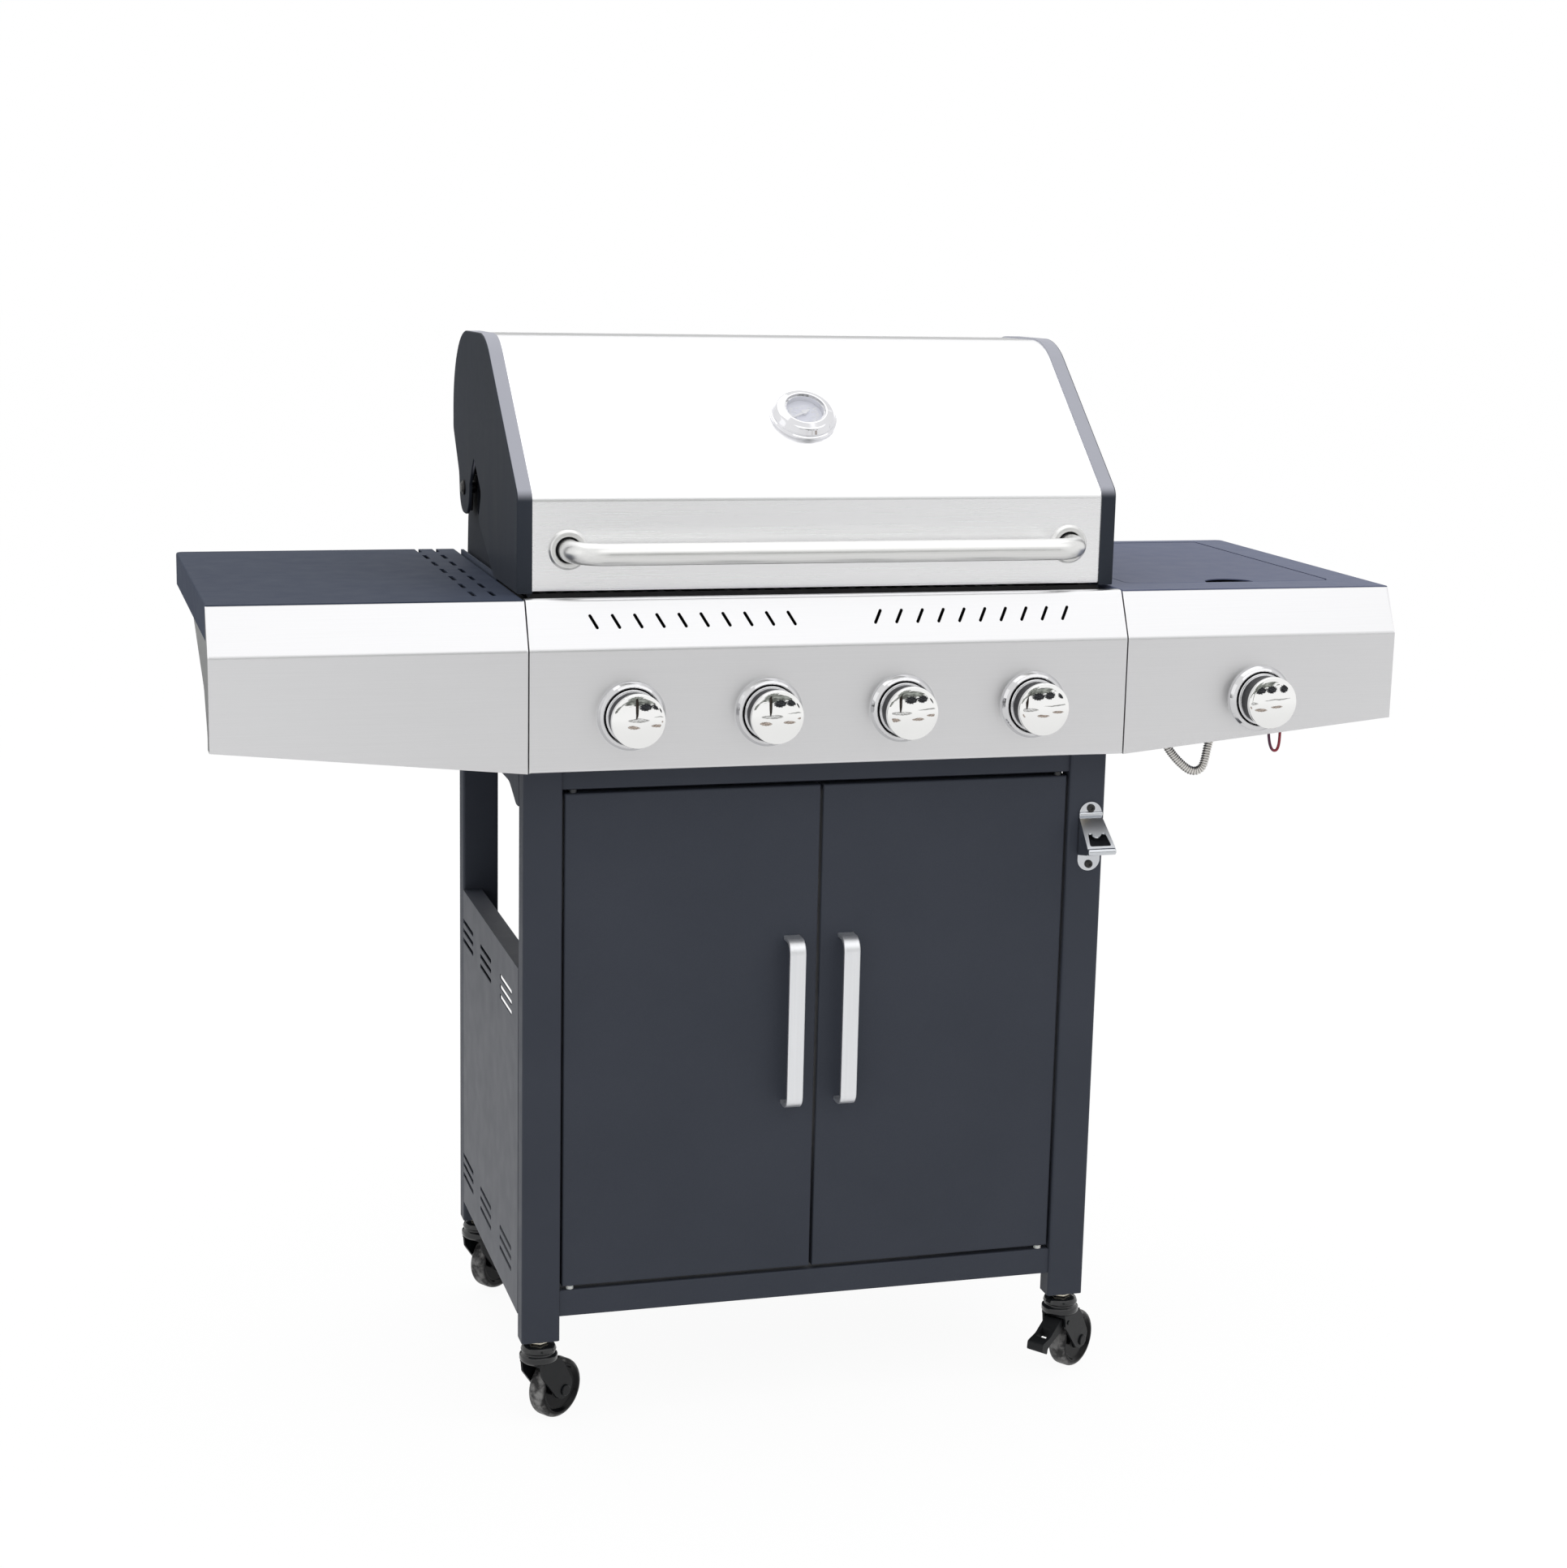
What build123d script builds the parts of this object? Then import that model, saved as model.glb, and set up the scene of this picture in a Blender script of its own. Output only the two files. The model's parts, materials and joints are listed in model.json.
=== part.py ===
from build123d import *
import math
import os

# Gas barbecue grill on a cabinet cart, in millimetres. The front faces -Y, +X is to the right of
# someone who stands in front of it, and the origin is on the floor under the middle of the object.

# Cart
CART_HALF = 310
CART_FRONT = -172
CART_REAR = 216
LEG_WIDTH = 40
LEG_DEPTH = 25
LEG_BOTTOM = 93
LEG_TOP = 715
TUBE_WALL = 1.5
SHEET = 1.2
CASTER_STEM_RADIUS = 5
RUNNING_GAP = 0.05
SHELF_DECK = 147
SHELF_LIP = 28
PANEL_BOTTOM = 117
PANEL_TOP = 487.5
PANEL_FLANGE = 21
RAIL_BOTTOM = 671
RAIL_EAR = 16
FRONT_RAIL_BOTTOM = 675
VENT_SLOT = (68, 5)
VENT_ROWS = (452, 441, 430, 174, 163, 151)
VENT_COLUMNS = (-77, 44, 158)

# Doors
DOOR_BOTTOM = 151
DOOR_TOP = 671
DOOR_EDGE = 267.5
DOOR_GAP = 3
DOOR_FRONT = CART_FRONT + 3
DOOR_THICK = 16
DOOR_PIN_X = 258.5
DOOR_PIN_Y = DOOR_FRONT + 5.5
DOOR_PIN_RADIUS = 3
HANDLE_X = 29
HANDLE_Z = (333, 514)
HANDLE_WIDTH = 17
HANDLE_REACH = 26
HANDLE_THICK = 4.5

# Casters, all swivelled the same way, as a cart that has just been pushed
WHEEL_RADIUS = 31.5
WHEEL_WIDTH = 21
CASTER_TRAIL = 25
CASTER_TURN = 36
AXLE_RADIUS = 4
FORK_GAP = 25
FORK_PLATE = 2.5
BRAKE_PIVOT = (-4, 0, 60.5)
BRAKE_PIN_RADIUS = 2.5

# Control panel, fascias and knobs share one section
FACE_Y = -209
FACE_BOTTOM = 700.6
FACE_BEND = 821.6
TOP_EDGE_Y = -186.4
WORK_TOP = 868.5
CONTROL_HALF = 311
SHELF_INNER = 312.5
SHELF_OUTER = 616
SHELF_BACK = 231
APRON = 34
TAPER_RISE = 30
KNOB_X = (-210, -70, 70, 210)
SIDE_KNOB_X = 463
KNOB_Z = 755.7
BEZEL_RADIUS = 34.5
KNOB_RADIUS = 27
KNOB_FRONT = 35
KNOB_TRAVEL = 4
STEM_RADIUS = 4
PLUG_RADIUS = 6
COLLAR_DEPTH = 21
VENT_PITCH = 22.3
VENT_FIRST = 45
VENT_COUNT = 10
VENT_LEAN = 27

# Lid and firebox
LID_END = 314
LID_BAND = 15.4
LID_FRONT = -155.5
LID_BOTTOM = 870
LID_BEND = 967
LID_SLOPE = 38.5
LID_TOP = 1113.5
LID_BACK = 227.5
LID_BACK_BOTTOM = 1003
SKIN_INSET = 1.5
PIVOT_Y = 154
PIVOT_Z = 944
HINGE_PIN_RADIUS = 4
LID_HANDLE_FOOT = 263
LID_HANDLE_Z = 913
LID_HANDLE_RADIUS = 11
LID_HANDLE_REACH = 45
LID_HANDLE_BEND = 30
GAUGE_Y = -67
GAUGE_RADIUS = 35
DIAL_RADIUS = 19.4
GLASS_RADIUS = 21.4
BOX_HALF = 302
BOX_WALL = 2
BOX_FRONT = -148
BOX_BACK = 223
BOX_BOTTOM = 716
BOX_RIM = 861
BAFFLE_Y = 196
BAFFLE_TOP = 975
EAR_RADIUS = 14
GRATE_Z = 838
GRATE_THICK = 12
BURNER_RADIUS = 12
RACK_Z = 985

# Side burner
WELL_X = (338, 574.5)
WELL_Y = (-139, 213)
WELL_FLOOR = 822
WELL_LEDGE = 858
SIDE_LID_PIVOT_Y = 205
SIDE_LID_PIVOT_Z = 863
SIDE_BURNER = (456, 37)

# Gas pipes and wire
MANIFOLD_Y = -178
MANIFOLD_Z = 736
MANIFOLD_RADIUS = 9
HOSE_INLET_X = -247
PIPE_DIAMETER = 9.4
PIPE_BORE = 5.6
RIB_PITCH = 2.7
RIB_DEPTH = 0.9
WIRE_DIAMETER = 3
ELECTRODE = (501, 20, 806)


def block(x, y, z):
    """Box between two limits on each axis."""
    limits = (x, y, z)
    middle = [(low + high) / 2 for low, high in limits]
    return Pos(*middle) * Box(*[high - low for low, high in limits])


def outline(points, radii=0):
    """Flat face with rounded corners, one radius for each point."""
    return make_face(FilletPolyline(*points, radius=radii, close=True).edges())


def across(face, x):
    """Extrude a face drawn in (y, z) between two limits of X."""
    return Pos(x[0], 0, 0) * extrude(Plane.YZ * face, x[1] - x[0], dir=(1, 0, 0))


def along(face, y):
    """Extrude a face drawn in (x, z) between two limits of Y."""
    return Pos(0, y[0], 0) * extrude(Plane.XZ * face, y[1] - y[0], dir=(0, 1, 0))


def upward(face, z):
    """Extrude a face drawn in (x, y) between two limits of Z."""
    return Pos(0, 0, z[0]) * extrude(face, z[1] - z[0], dir=(0, 0, 1))


def moved_line(points, distance):
    """Open outline moved to its right by a distance, with mitred corners."""
    rays = []
    for (u0, v0), (u1, v1) in zip(points, points[1:]):
        length = math.hypot(u1 - u0, v1 - v0)
        du, dv = (u1 - u0) / length, (v1 - v0) / length
        rays.append((u0 + dv * distance, v0 - du * distance, du, dv))
    moved = [rays[0][:2]]
    for (pu, pv, du, dv), (qu, qv, eu, ev) in zip(rays, rays[1:]):
        step = ((qu - pu) * ev - (qv - pv) * eu) / (du * ev - dv * eu)
        moved.append((pu + du * step, pv + dv * step))
    u, v = points[-1]
    moved.append((u + rays[-1][3] * distance, v - rays[-1][2] * distance))
    return moved


def folded(points, radii, near, far):
    """Section of a folded sheet, between two distances to the right of an open outline."""
    turns = []
    for (u0, v0), (u1, v1), (u2, v2) in zip(points, points[1:], points[2:]):
        turns.append(math.copysign(1, (u2 - u1) * (v1 - v0) - (u1 - u0) * (v2 - v1)))
    sides = []
    for distance in (near, far):
        bends = [max(r - turn * distance, 0) if r else 0 for r, turn in zip(radii, turns)]
        sides.append(FilletPolyline(*moved_line(points, distance), radius=bends))
    outer, inner = sides
    ends = [Line(outer @ 0, inner @ 0).edge(), Line(outer @ 1, inner @ 1).edge()]
    return make_face(outer.edges() + inner.edges() + ends)


def turned(points, radii=0):
    """Solid of revolution about Z from (radius, height) points."""
    return revolve(Plane.XZ * outline(points, radii), Axis.Z)


def rod(start, end, radius):
    """Round bar between two points."""
    path = Vector(*end) - Vector(*start)
    plane = Plane(origin=start, z_dir=path)
    return extrude(plane * Circle(radius), path.length, dir=path)


def mirrored(shape):
    """The same piece on the other side of the cart."""
    return mirror(shape, Plane.YZ)


def group(shapes):
    """Separate solids that share one node."""
    return Compound(children=[solid for shape in shapes for solid in shape.solids()])


def both_sides(shape):
    return group([shape, mirrored(shape)])


def leg_corners():
    """Centre of each leg, front left, front right, rear left, rear right."""
    x = CART_HALF - LEG_WIDTH / 2
    front, rear = CART_FRONT + LEG_DEPTH / 2, CART_REAR - LEG_DEPTH / 2
    return [(-x, front), (x, front), (-x, rear), (x, rear)]


def legs():
    """Rectangular tubes with a plug at the foot that takes the caster's stem."""
    inner = (LEG_WIDTH - 2 * TUBE_WALL, LEG_DEPTH - 2 * TUBE_WALL)
    plug_top = LEG_BOTTOM + 22
    tube = upward(RectangleRounded(LEG_WIDTH, LEG_DEPTH, 3), (LEG_BOTTOM, LEG_TOP))
    tube -= upward(RectangleRounded(*inner, 1.5), (plug_top, LEG_TOP))
    tube -= upward(Circle(CASTER_STEM_RADIUS + RUNNING_GAP), (LEG_BOTTOM, plug_top))
    return group([Pos(x, y, 0) * tube for x, y in leg_corners()])


def top_rails():
    """Front channel with a stop behind the doors, and a side plate with ears between each pair of legs."""
    inner_leg = CART_HALF - LEG_WIDTH
    front, back = CART_FRONT + LEG_DEPTH, CART_REAR - LEG_DEPTH
    stop = DOOR_FRONT + DOOR_THICK + 5.5
    channel = [(stop, FRONT_RAIL_BOTTOM - 14), (stop, FRONT_RAIL_BOTTOM), (-168, FRONT_RAIL_BOTTOM),
               (-168, LEG_TOP), (-149, LEG_TOP)]
    front_rail = across(folded(channel, (0.5, 2, 2), 0, TUBE_WALL), (-inner_leg, inner_leg))
    for side in (-1, 1):
        front_rail -= Pos(side * DOOR_PIN_X, DOOR_PIN_Y, 670) * Cylinder(DOOR_PIN_RADIUS, 40)
    ear = RAIL_BOTTOM - RAIL_EAR
    plate = [(front, LEG_TOP), (front, ear), (front + 14, ear), (front + 52, RAIL_BOTTOM),
             (back - 52, RAIL_BOTTOM), (back - 14, ear), (back, ear), (back, LEG_TOP)]
    plate_face = outline(plate, (0, 3, 12, 40, 40, 12, 3, 0))
    side_rail = across(plate_face, (CART_HALF - TUBE_WALL, CART_HALF))
    side_rail += block((CART_HALF - 24, CART_HALF), (front, back), (LEG_TOP - TUBE_WALL, LEG_TOP))
    return group([front_rail, side_rail, mirrored(side_rail)])


def right_side_panel():
    """Folded sheet between the legs, with a wide top flange and three by two groups of vent slots."""
    front, back = CART_FRONT + LEG_DEPTH, CART_REAR - LEG_DEPTH
    inner = CART_HALF - PANEL_FLANGE
    panel = block((CART_HALF - SHEET, CART_HALF), (front, back), (PANEL_BOTTOM, PANEL_TOP))
    panel += block((inner, CART_HALF), (front, back), (PANEL_TOP - SHEET, PANEL_TOP))
    panel += block((inner, inner + SHEET), (front, back), (PANEL_TOP - 14, PANEL_TOP))
    slot = Plane.YZ * SlotOverall(*VENT_SLOT)
    slot = extrude(slot, 4, dir=(1, 0, 0), both=True)
    for y in VENT_COLUMNS:
        for z in VENT_ROWS:
            panel -= Pos(CART_HALF, y, z) * slot
    return panel


def base_shelf():
    """Pressed deck with lips folded down all round, notched for the legs."""
    x = CART_HALF - SHEET
    front, back = DOOR_FRONT, CART_REAR - 3
    leg_x = CART_HALF - LEG_WIDTH
    leg_front, leg_back = CART_FRONT + LEG_DEPTH, CART_REAR - LEG_DEPTH
    right = [(leg_x, front), (leg_x, leg_front), (x, leg_front), (x, leg_back), (leg_x, leg_back),
             (leg_x, back)]
    plan = right + [(-px, py) for px, py in reversed(right)]
    bottom = SHELF_DECK - SHELF_LIP
    shelf = upward(outline(plan), (bottom, SHELF_DECK))
    shelf = fillet(shelf.faces().sort_by(Axis.Z)[-1].edges(), 2)
    hollow = offset(outline(plan), -TUBE_WALL, kind=Kind.INTERSECTION)
    shelf -= upward(hollow, (bottom, SHELF_DECK - TUBE_WALL))
    for side in (-1, 1):
        shelf -= Pos(side * DOOR_PIN_X, DOOR_PIN_Y, SHELF_DECK) * Cylinder(DOOR_PIN_RADIUS, 20)
    return shelf


def door_hinge_pins():
    """Pins with a nylon collar, fixed in the base shelf and in the front rail."""
    r, collar, play, sunk, into_door = DOOR_PIN_RADIUS, 4, 0.4, 10, 8
    low = turned([(0, SHELF_DECK - sunk), (r, SHELF_DECK - sunk), (r, SHELF_DECK), (collar, SHELF_DECK),
                  (collar, DOOR_BOTTOM - play), (r, DOOR_BOTTOM - play), (r, DOOR_BOTTOM + into_door),
                  (0, DOOR_BOTTOM + into_door)])
    high = turned([(0, DOOR_TOP - into_door), (r, DOOR_TOP - into_door), (r, DOOR_TOP + play),
                   (collar, DOOR_TOP + play), (collar, FRONT_RAIL_BOTTOM), (r, FRONT_RAIL_BOTTOM),
                   (r, FRONT_RAIL_BOTTOM + sunk), (0, FRONT_RAIL_BOTTOM + sunk)])
    pins = [Pos(side * DOOR_PIN_X, DOOR_PIN_Y, 0) * pin for side in (-1, 1) for pin in (low, high)]
    return group(pins)


def right_door():
    """Folded pan, open at the back, with hinge holes in its top and bottom flanges."""
    back = DOOR_FRONT + DOOR_THICK
    door = block((DOOR_GAP / 2, DOOR_EDGE), (DOOR_FRONT, back), (DOOR_BOTTOM, DOOR_TOP))
    door = fillet(door.faces().sort_by(Axis.Y)[0].edges(), 2)
    door -= block((DOOR_GAP / 2 + SHEET, DOOR_EDGE - SHEET), (DOOR_FRONT + SHEET, back),
                  (DOOR_BOTTOM + SHEET, DOOR_TOP - SHEET))
    hole = Cylinder(DOOR_PIN_RADIUS + RUNNING_GAP, DOOR_TOP - DOOR_BOTTOM + 20)
    return door - Pos(DOOR_PIN_X, DOOR_PIN_Y, (DOOR_TOP + DOOR_BOTTOM) / 2) * hole


def right_door_handle():
    """Flat bow handle bent from one strip."""
    low, high = HANDLE_Z
    reach = DOOR_FRONT - HANDLE_REACH
    bow = [(DOOR_FRONT, low), (reach, low), (reach, high), (DOOR_FRONT, high)]
    section = folded(bow, (15, 15), 0, HANDLE_THICK)
    handle = across(section, (HANDLE_X - HANDLE_WIDTH / 2, HANDLE_X + HANDLE_WIDTH / 2))
    return chamfer(handle.edges().filter_by(GeomType.CIRCLE), 0.6)


def bottle_opener():
    """Strip with round tabs; its middle is pressed out into a hood with a toothed window and a rolled lip."""
    x, low, high = 294, 569, 643
    half, flare, thick = 12.5, 15.6, 1.6
    brow, foot, lip_z, lip = 629, 586, 597, 3.6
    tip = CART_FRONT - 35.5
    strip = along(Pos(x, (low + high) / 2) * SlotOverall(high - low, 2 * half, rotation=90),
                  (CART_FRONT - thick, CART_FRONT))
    inside = half - thick
    strip -= block((x - inside, x + inside), (CART_FRONT - 3, CART_FRONT + 1), (foot + 2, brow - 4))
    side = outline([(CART_FRONT, brow), (tip, lip_z + lip), (tip, lip_z - lip), (CART_FRONT, foot)])
    plan = outline([(x - half, CART_FRONT), (x + half, CART_FRONT), (x + flare, tip), (x - flare, tip)])
    under = outline([(CART_FRONT + 5, brow - 2 * thick), (CART_FRONT, brow - 2 * thick),
                     (tip - 5, lip_z + lip - 6), (tip - 5, low), (CART_FRONT + 5, low)])
    hood = across(side, (x - flare, x + flare)) & upward(plan, (low, high))
    hood -= across(under, (x - flare, x + flare)) & upward(offset(plan, -thick), (low, high))
    rise = brow - lip_z - lip
    slope = Plane(origin=(x, CART_FRONT, brow), x_dir=(1, 0, 0), z_dir=(0, -rise, CART_FRONT - tip))
    window = outline([(-12, -42.5), (12, -42.5), (9.5, -25), (-9.5, -25)], (2, 2, 2.5, 2.5))
    window -= Pos(0, -24) * Ellipse(5.4, 6.3)
    hood -= extrude(slope * window, 8, both=True)
    roll = Pos(x, tip, lip_z) * Cylinder(lip, 2 * flare, rotation=(0, 90, 0))
    return strip + hood + fillet(roll.edges().filter_by(GeomType.CIRCLE), 1.5)


def control_panel():
    """Folded stainless panel with returns at its ends, knob holes and two groups of vent slots."""
    section = [(CART_FRONT, FACE_BOTTOM), (FACE_Y, FACE_BOTTOM), (FACE_Y, FACE_BEND), (TOP_EDGE_Y, WORK_TOP),
               (TOP_EDGE_Y + 10, WORK_TOP), (TOP_EDGE_Y + 15, BOX_RIM - 1), (BOX_FRONT, BOX_RIM - 1)]
    panel = across(folded(section, (3, 8, 5, 2.5, 2.5), 0, SHEET), (-CONTROL_HALF, CONTROL_HALF))
    low, skin, back = FACE_BOTTOM + SHEET / 2, FACE_Y + SHEET / 2, FACE_Y + 20
    end = outline([(skin, low), (skin, FACE_BEND), (TOP_EDGE_Y, WORK_TOP - 1),
                   (TOP_EDGE_Y + 14, BOX_RIM - 2), (back, FACE_BEND), (back, low)])
    end = across(end, (CONTROL_HALF - SHEET, CONTROL_HALF))
    panel = panel + end + mirrored(end)
    panel -= Pos(HOSE_INLET_X, MANIFOLD_Y, FACE_BOTTOM) * Cylinder(15, 8)
    for x in KNOB_X:
        panel -= Pos(x, FACE_Y, KNOB_Z) * Rot(90, 0, 0) * Cylinder(10, 8)
    rise, run = WORK_TOP - FACE_BEND, TOP_EDGE_Y - FACE_Y
    slope = Plane(origin=(0, FACE_Y + run * 0.55, FACE_BEND + rise * 0.55), x_dir=(1, 0, 0),
                  z_dir=(0, -rise, run))
    for side in (-1, 1):
        slot = Rot(0, 0, 90 - side * VENT_LEAN) * SlotOverall(17, 3.2)
        for k in range(VENT_COUNT):
            x = side * (VENT_FIRST + k * VENT_PITCH)
            panel -= extrude(slope * Pos(x, 0) * slot, 5, both=True)
    return panel


def fascia(side):
    """Sheet that carries the panel's section on past the shelf, with a lower edge that tapers up."""
    inner, outer = SHELF_INNER, SHELF_OUTER
    edge = WORK_TOP - SHEET
    section = [(FACE_Y, FACE_BOTTOM), (FACE_Y, FACE_BEND), (TOP_EDGE_Y - 0.6, edge)]
    sheet = across(folded(section, (8,), 0, SHEET), (inner, outer))
    sheet -= block((inner, outer), (TOP_EDGE_Y, 0), (FACE_BEND, WORK_TOP))
    sheet += block((inner + 1.4, outer - 1.4), (TOP_EDGE_Y - 0.8, TOP_EDGE_Y + 16), (edge - SHEET, edge))
    low, high = FACE_BOTTOM, FACE_BOTTOM + TAPER_RISE
    below = [(inner, low), (outer, high), (outer, low - 20), (inner, low - 20)]
    sheet -= along(outline(below), (-220, -100))
    lip = [(inner, low), (outer, high), (outer, high + SHEET), (inner, low + SHEET)]
    sheet += along(outline(lip), (FACE_Y, FACE_Y + 18))
    near = outline([(FACE_Y, low + 1), (FACE_Y, FACE_BEND), (TOP_EDGE_Y - 1, edge - 1),
                    (TOP_EDGE_Y, edge - 10), (FACE_Y + 20, FACE_BEND), (FACE_Y + 20, low + 1)])
    sheet += across(near, (inner, inner + SHEET))
    under = WORK_TOP - APRON
    far = outline([(FACE_Y, high), (FACE_Y, FACE_BEND), (TOP_EDGE_Y - 1, edge), (TOP_EDGE_Y - 1, under),
                   (-32, under), (-156, 784), (FACE_Y + 20, high + 14), (FACE_Y + 20, high)],
                  (0, 0, 0, 0, 0, 30, 12, 0))
    sheet += across(far, (outer - SHEET, outer))
    if side > 0:
        return sheet - Pos(SIDE_KNOB_X, FACE_Y, KNOB_Z) * Rot(90, 0, 0) * Cylinder(10, 8)
    return mirrored(sheet)


def shelf_tray():
    """Side shelf, right hand: top sheet with aprons on three sides, open at the front for the fascia."""
    plan = [(SHELF_INNER, TOP_EDGE_Y), (SHELF_OUTER, TOP_EDGE_Y), (SHELF_OUTER, SHELF_BACK),
            (SHELF_INNER, SHELF_BACK)]
    tray = upward(outline(plan, (0, 0, 8, 3)), (WORK_TOP - APRON, WORK_TOP))
    tray = fillet(tray.faces().sort_by(Axis.Z)[-1].edges().sort_by(Axis.Y)[1:], 2)
    return tray - block((SHELF_INNER + SHEET, SHELF_OUTER - SHEET), (TOP_EDGE_Y, SHELF_BACK - SHEET),
                        (WORK_TOP - APRON, WORK_TOP - SHEET))


def left_shelf():
    """Plain shelf with two rows of long slots beside the lid, over a stiffening channel."""
    shelf = mirrored(shelf_tray())
    top, low = WORK_TOP - SHEET / 2, WORK_TOP - 16
    channel = folded([(-364, top), (-364, low), (-326, low), (-326, top)], (2, 2), 0, SHEET)
    shelf += along(channel, (-155, SHELF_BACK - 3))
    slot = extrude(SlotOverall(33, 4.6, rotation=90), 6, both=True)
    for x in (-355, -335.5):
        for k in range(7):
            shelf -= Pos(x, -137 + 59 * k, WORK_TOP) * slot
    return shelf


def right_shelf():
    """Shelf with the side burner's well: a ledge for the lid, walls and a floor with the burner's hole."""
    (x0, x1), (y0, y1) = WELL_X, WELL_Y
    mouth = [(x0, y0), (x1, y0), (x1, y1), (x0, y1)]
    mouth = outline(mouth, (14, 14, 5, 5))
    shelf = shelf_tray() - upward(mouth, (WORK_TOP - 5, WORK_TOP + 5))
    inside = [(x0 + 12, y0 + 12), (x1 - 12, y0 + 12), (x1 - 12, y1), (x0 + 12, y1)]
    rim = offset(mouth, SHEET)
    well = upward(rim - mouth, (WELL_LEDGE - SHEET, WORK_TOP - SHEET))
    well += upward(rim - outline(inside, (14, 14, 8, 8)), (WELL_LEDGE - SHEET, WELL_LEDGE))
    cup = outline(inside, (14, 14, 8, 8))
    well += upward(offset(cup, SHEET) - cup, (WELL_FLOOR, WELL_LEDGE))
    well += upward(offset(cup, SHEET), (WELL_FLOOR - SHEET, WELL_FLOOR))
    notch = 22
    for x in (x0, x1 - notch):
        well -= block((x, x + notch), (SIDE_LID_PIVOT_Y - 9, y1), (WELL_LEDGE - 2.2, WELL_LEDGE + 0.5))
    well -= Pos(*SIDE_BURNER, WELL_FLOOR) * Cylinder(9.3, 10)
    well -= Pos(ELECTRODE[0], ELECTRODE[1], WELL_FLOOR) * Cylinder(3.5, 10)
    pin = Cylinder(2 + RUNNING_GAP, x1 - x0 + 10, rotation=(0, 90, 0))
    return (shelf + well) - Pos((x0 + x1) / 2, SIDE_LID_PIVOT_Y, SIDE_LID_PIVOT_Z) * pin


def side_burner_lid():
    """Flush pan lid with a finger cut-out in front and two hinge studs at the back."""
    x0, x1 = WELL_X[0] + 1.5, WELL_X[1] - 1.5
    y0, y1 = WELL_Y[0] + 1.5, SIDE_LID_PIVOT_Y + 5
    middle = (x0 + x1) / 2
    bottom = WELL_LEDGE + 0.5
    plan = [(x0, y0), (x1, y0), (x1, y1), (x0, y1)]
    lid = upward(outline(plan, (13, 13, 4, 4)), (bottom, WORK_TOP))
    lid = fillet(lid.faces().sort_by(Axis.Z)[-1].edges(), 1.5)
    hollow = offset(outline(plan, (13, 13, 4, 4)), -SHEET)
    lid -= upward(hollow, (bottom, WORK_TOP - SHEET))
    lid -= upward(Pos(middle, y0) * Ellipse(27, 24), (bottom, WORK_TOP + 1))
    for x, out in ((x0, -1), (x1, 1)):
        stud = (min(x - out, x + out * 2.4), max(x - out, x + out * 2.4))
        lid += Pos(sum(stud) / 2, SIDE_LID_PIVOT_Y, SIDE_LID_PIVOT_Z) * Cylinder(
            2, stud[1] - stud[0], rotation=(0, 90, 0))
    return lid


def facing_front(x):
    """Plane on the panel's face at a knob, with its normal towards the user."""
    return Plane(origin=(x, FACE_Y, KNOB_Z), x_dir=(1, 0, 0), z_dir=(0, -1, 0))


def knob_bezel():
    """Stepped chrome ring round a knob."""
    r = BEZEL_RADIUS
    return turned([(28.5, 0), (r, 0), (r, 2.5), (r - 2.5, 6), (r - 5, 7.5), (28.5, 7.5)], (0, 0, 1, 2, 1, 1))


def knob():
    """Knob body with a rim and skirt, a mirror cap, and the stem that slides in the valve's plug."""
    back, skirt, front = KNOB_TRAVEL + 1.5, KNOB_FRONT - 7, KNOB_FRONT
    body = turned([(0, back), (27, back), (27, back + 3), (25.5, back + 4.5), (24.5, skirt), (0, skirt)],
                  (0, 0.8, 0.8, 0.8, 0, 0))
    cap = turned([(0, skirt), (KNOB_RADIUS, skirt), (KNOB_RADIUS, front), (0, front)], (0, 0.8, 2, 0))
    stem = Pos(0, 0, (back - COLLAR_DEPTH) / 2) * Cylinder(STEM_RADIUS, back + COLLAR_DEPTH)
    return group([body, cap, stem])


def valve_plug():
    """Turning plug inside a valve, with the bore that the knob's stem slides in."""
    top, bottom = -10, -34
    plug = Pos(0, 0, (top + bottom) / 2) * Cylinder(PLUG_RADIUS, top - bottom)
    depth = COLLAR_DEPTH + KNOB_TRAVEL + 1.5
    return plug - Pos(0, 0, (top - depth) / 2) * Cylinder(STEM_RADIUS + RUNNING_GAP, depth + top)


def valve_body():
    """Valve with a front neck round its plug, a feed stub below and a jet behind."""
    top, bottom = -9, -35
    bore = Pos(0, 0, (top + bottom) / 2) * Cylinder(PLUG_RADIUS + RUNNING_GAP, top - bottom)
    body = Pos(0, 0, -29) * Box(23, 20, 26)
    body += Pos(0, 0, -12.5) * Cylinder(9, 7)
    body += Pos(0, 0, -46) * Cylinder(4, 10)
    return fillet(body.edges().filter_by(Axis.Z), 2) - bore


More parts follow.
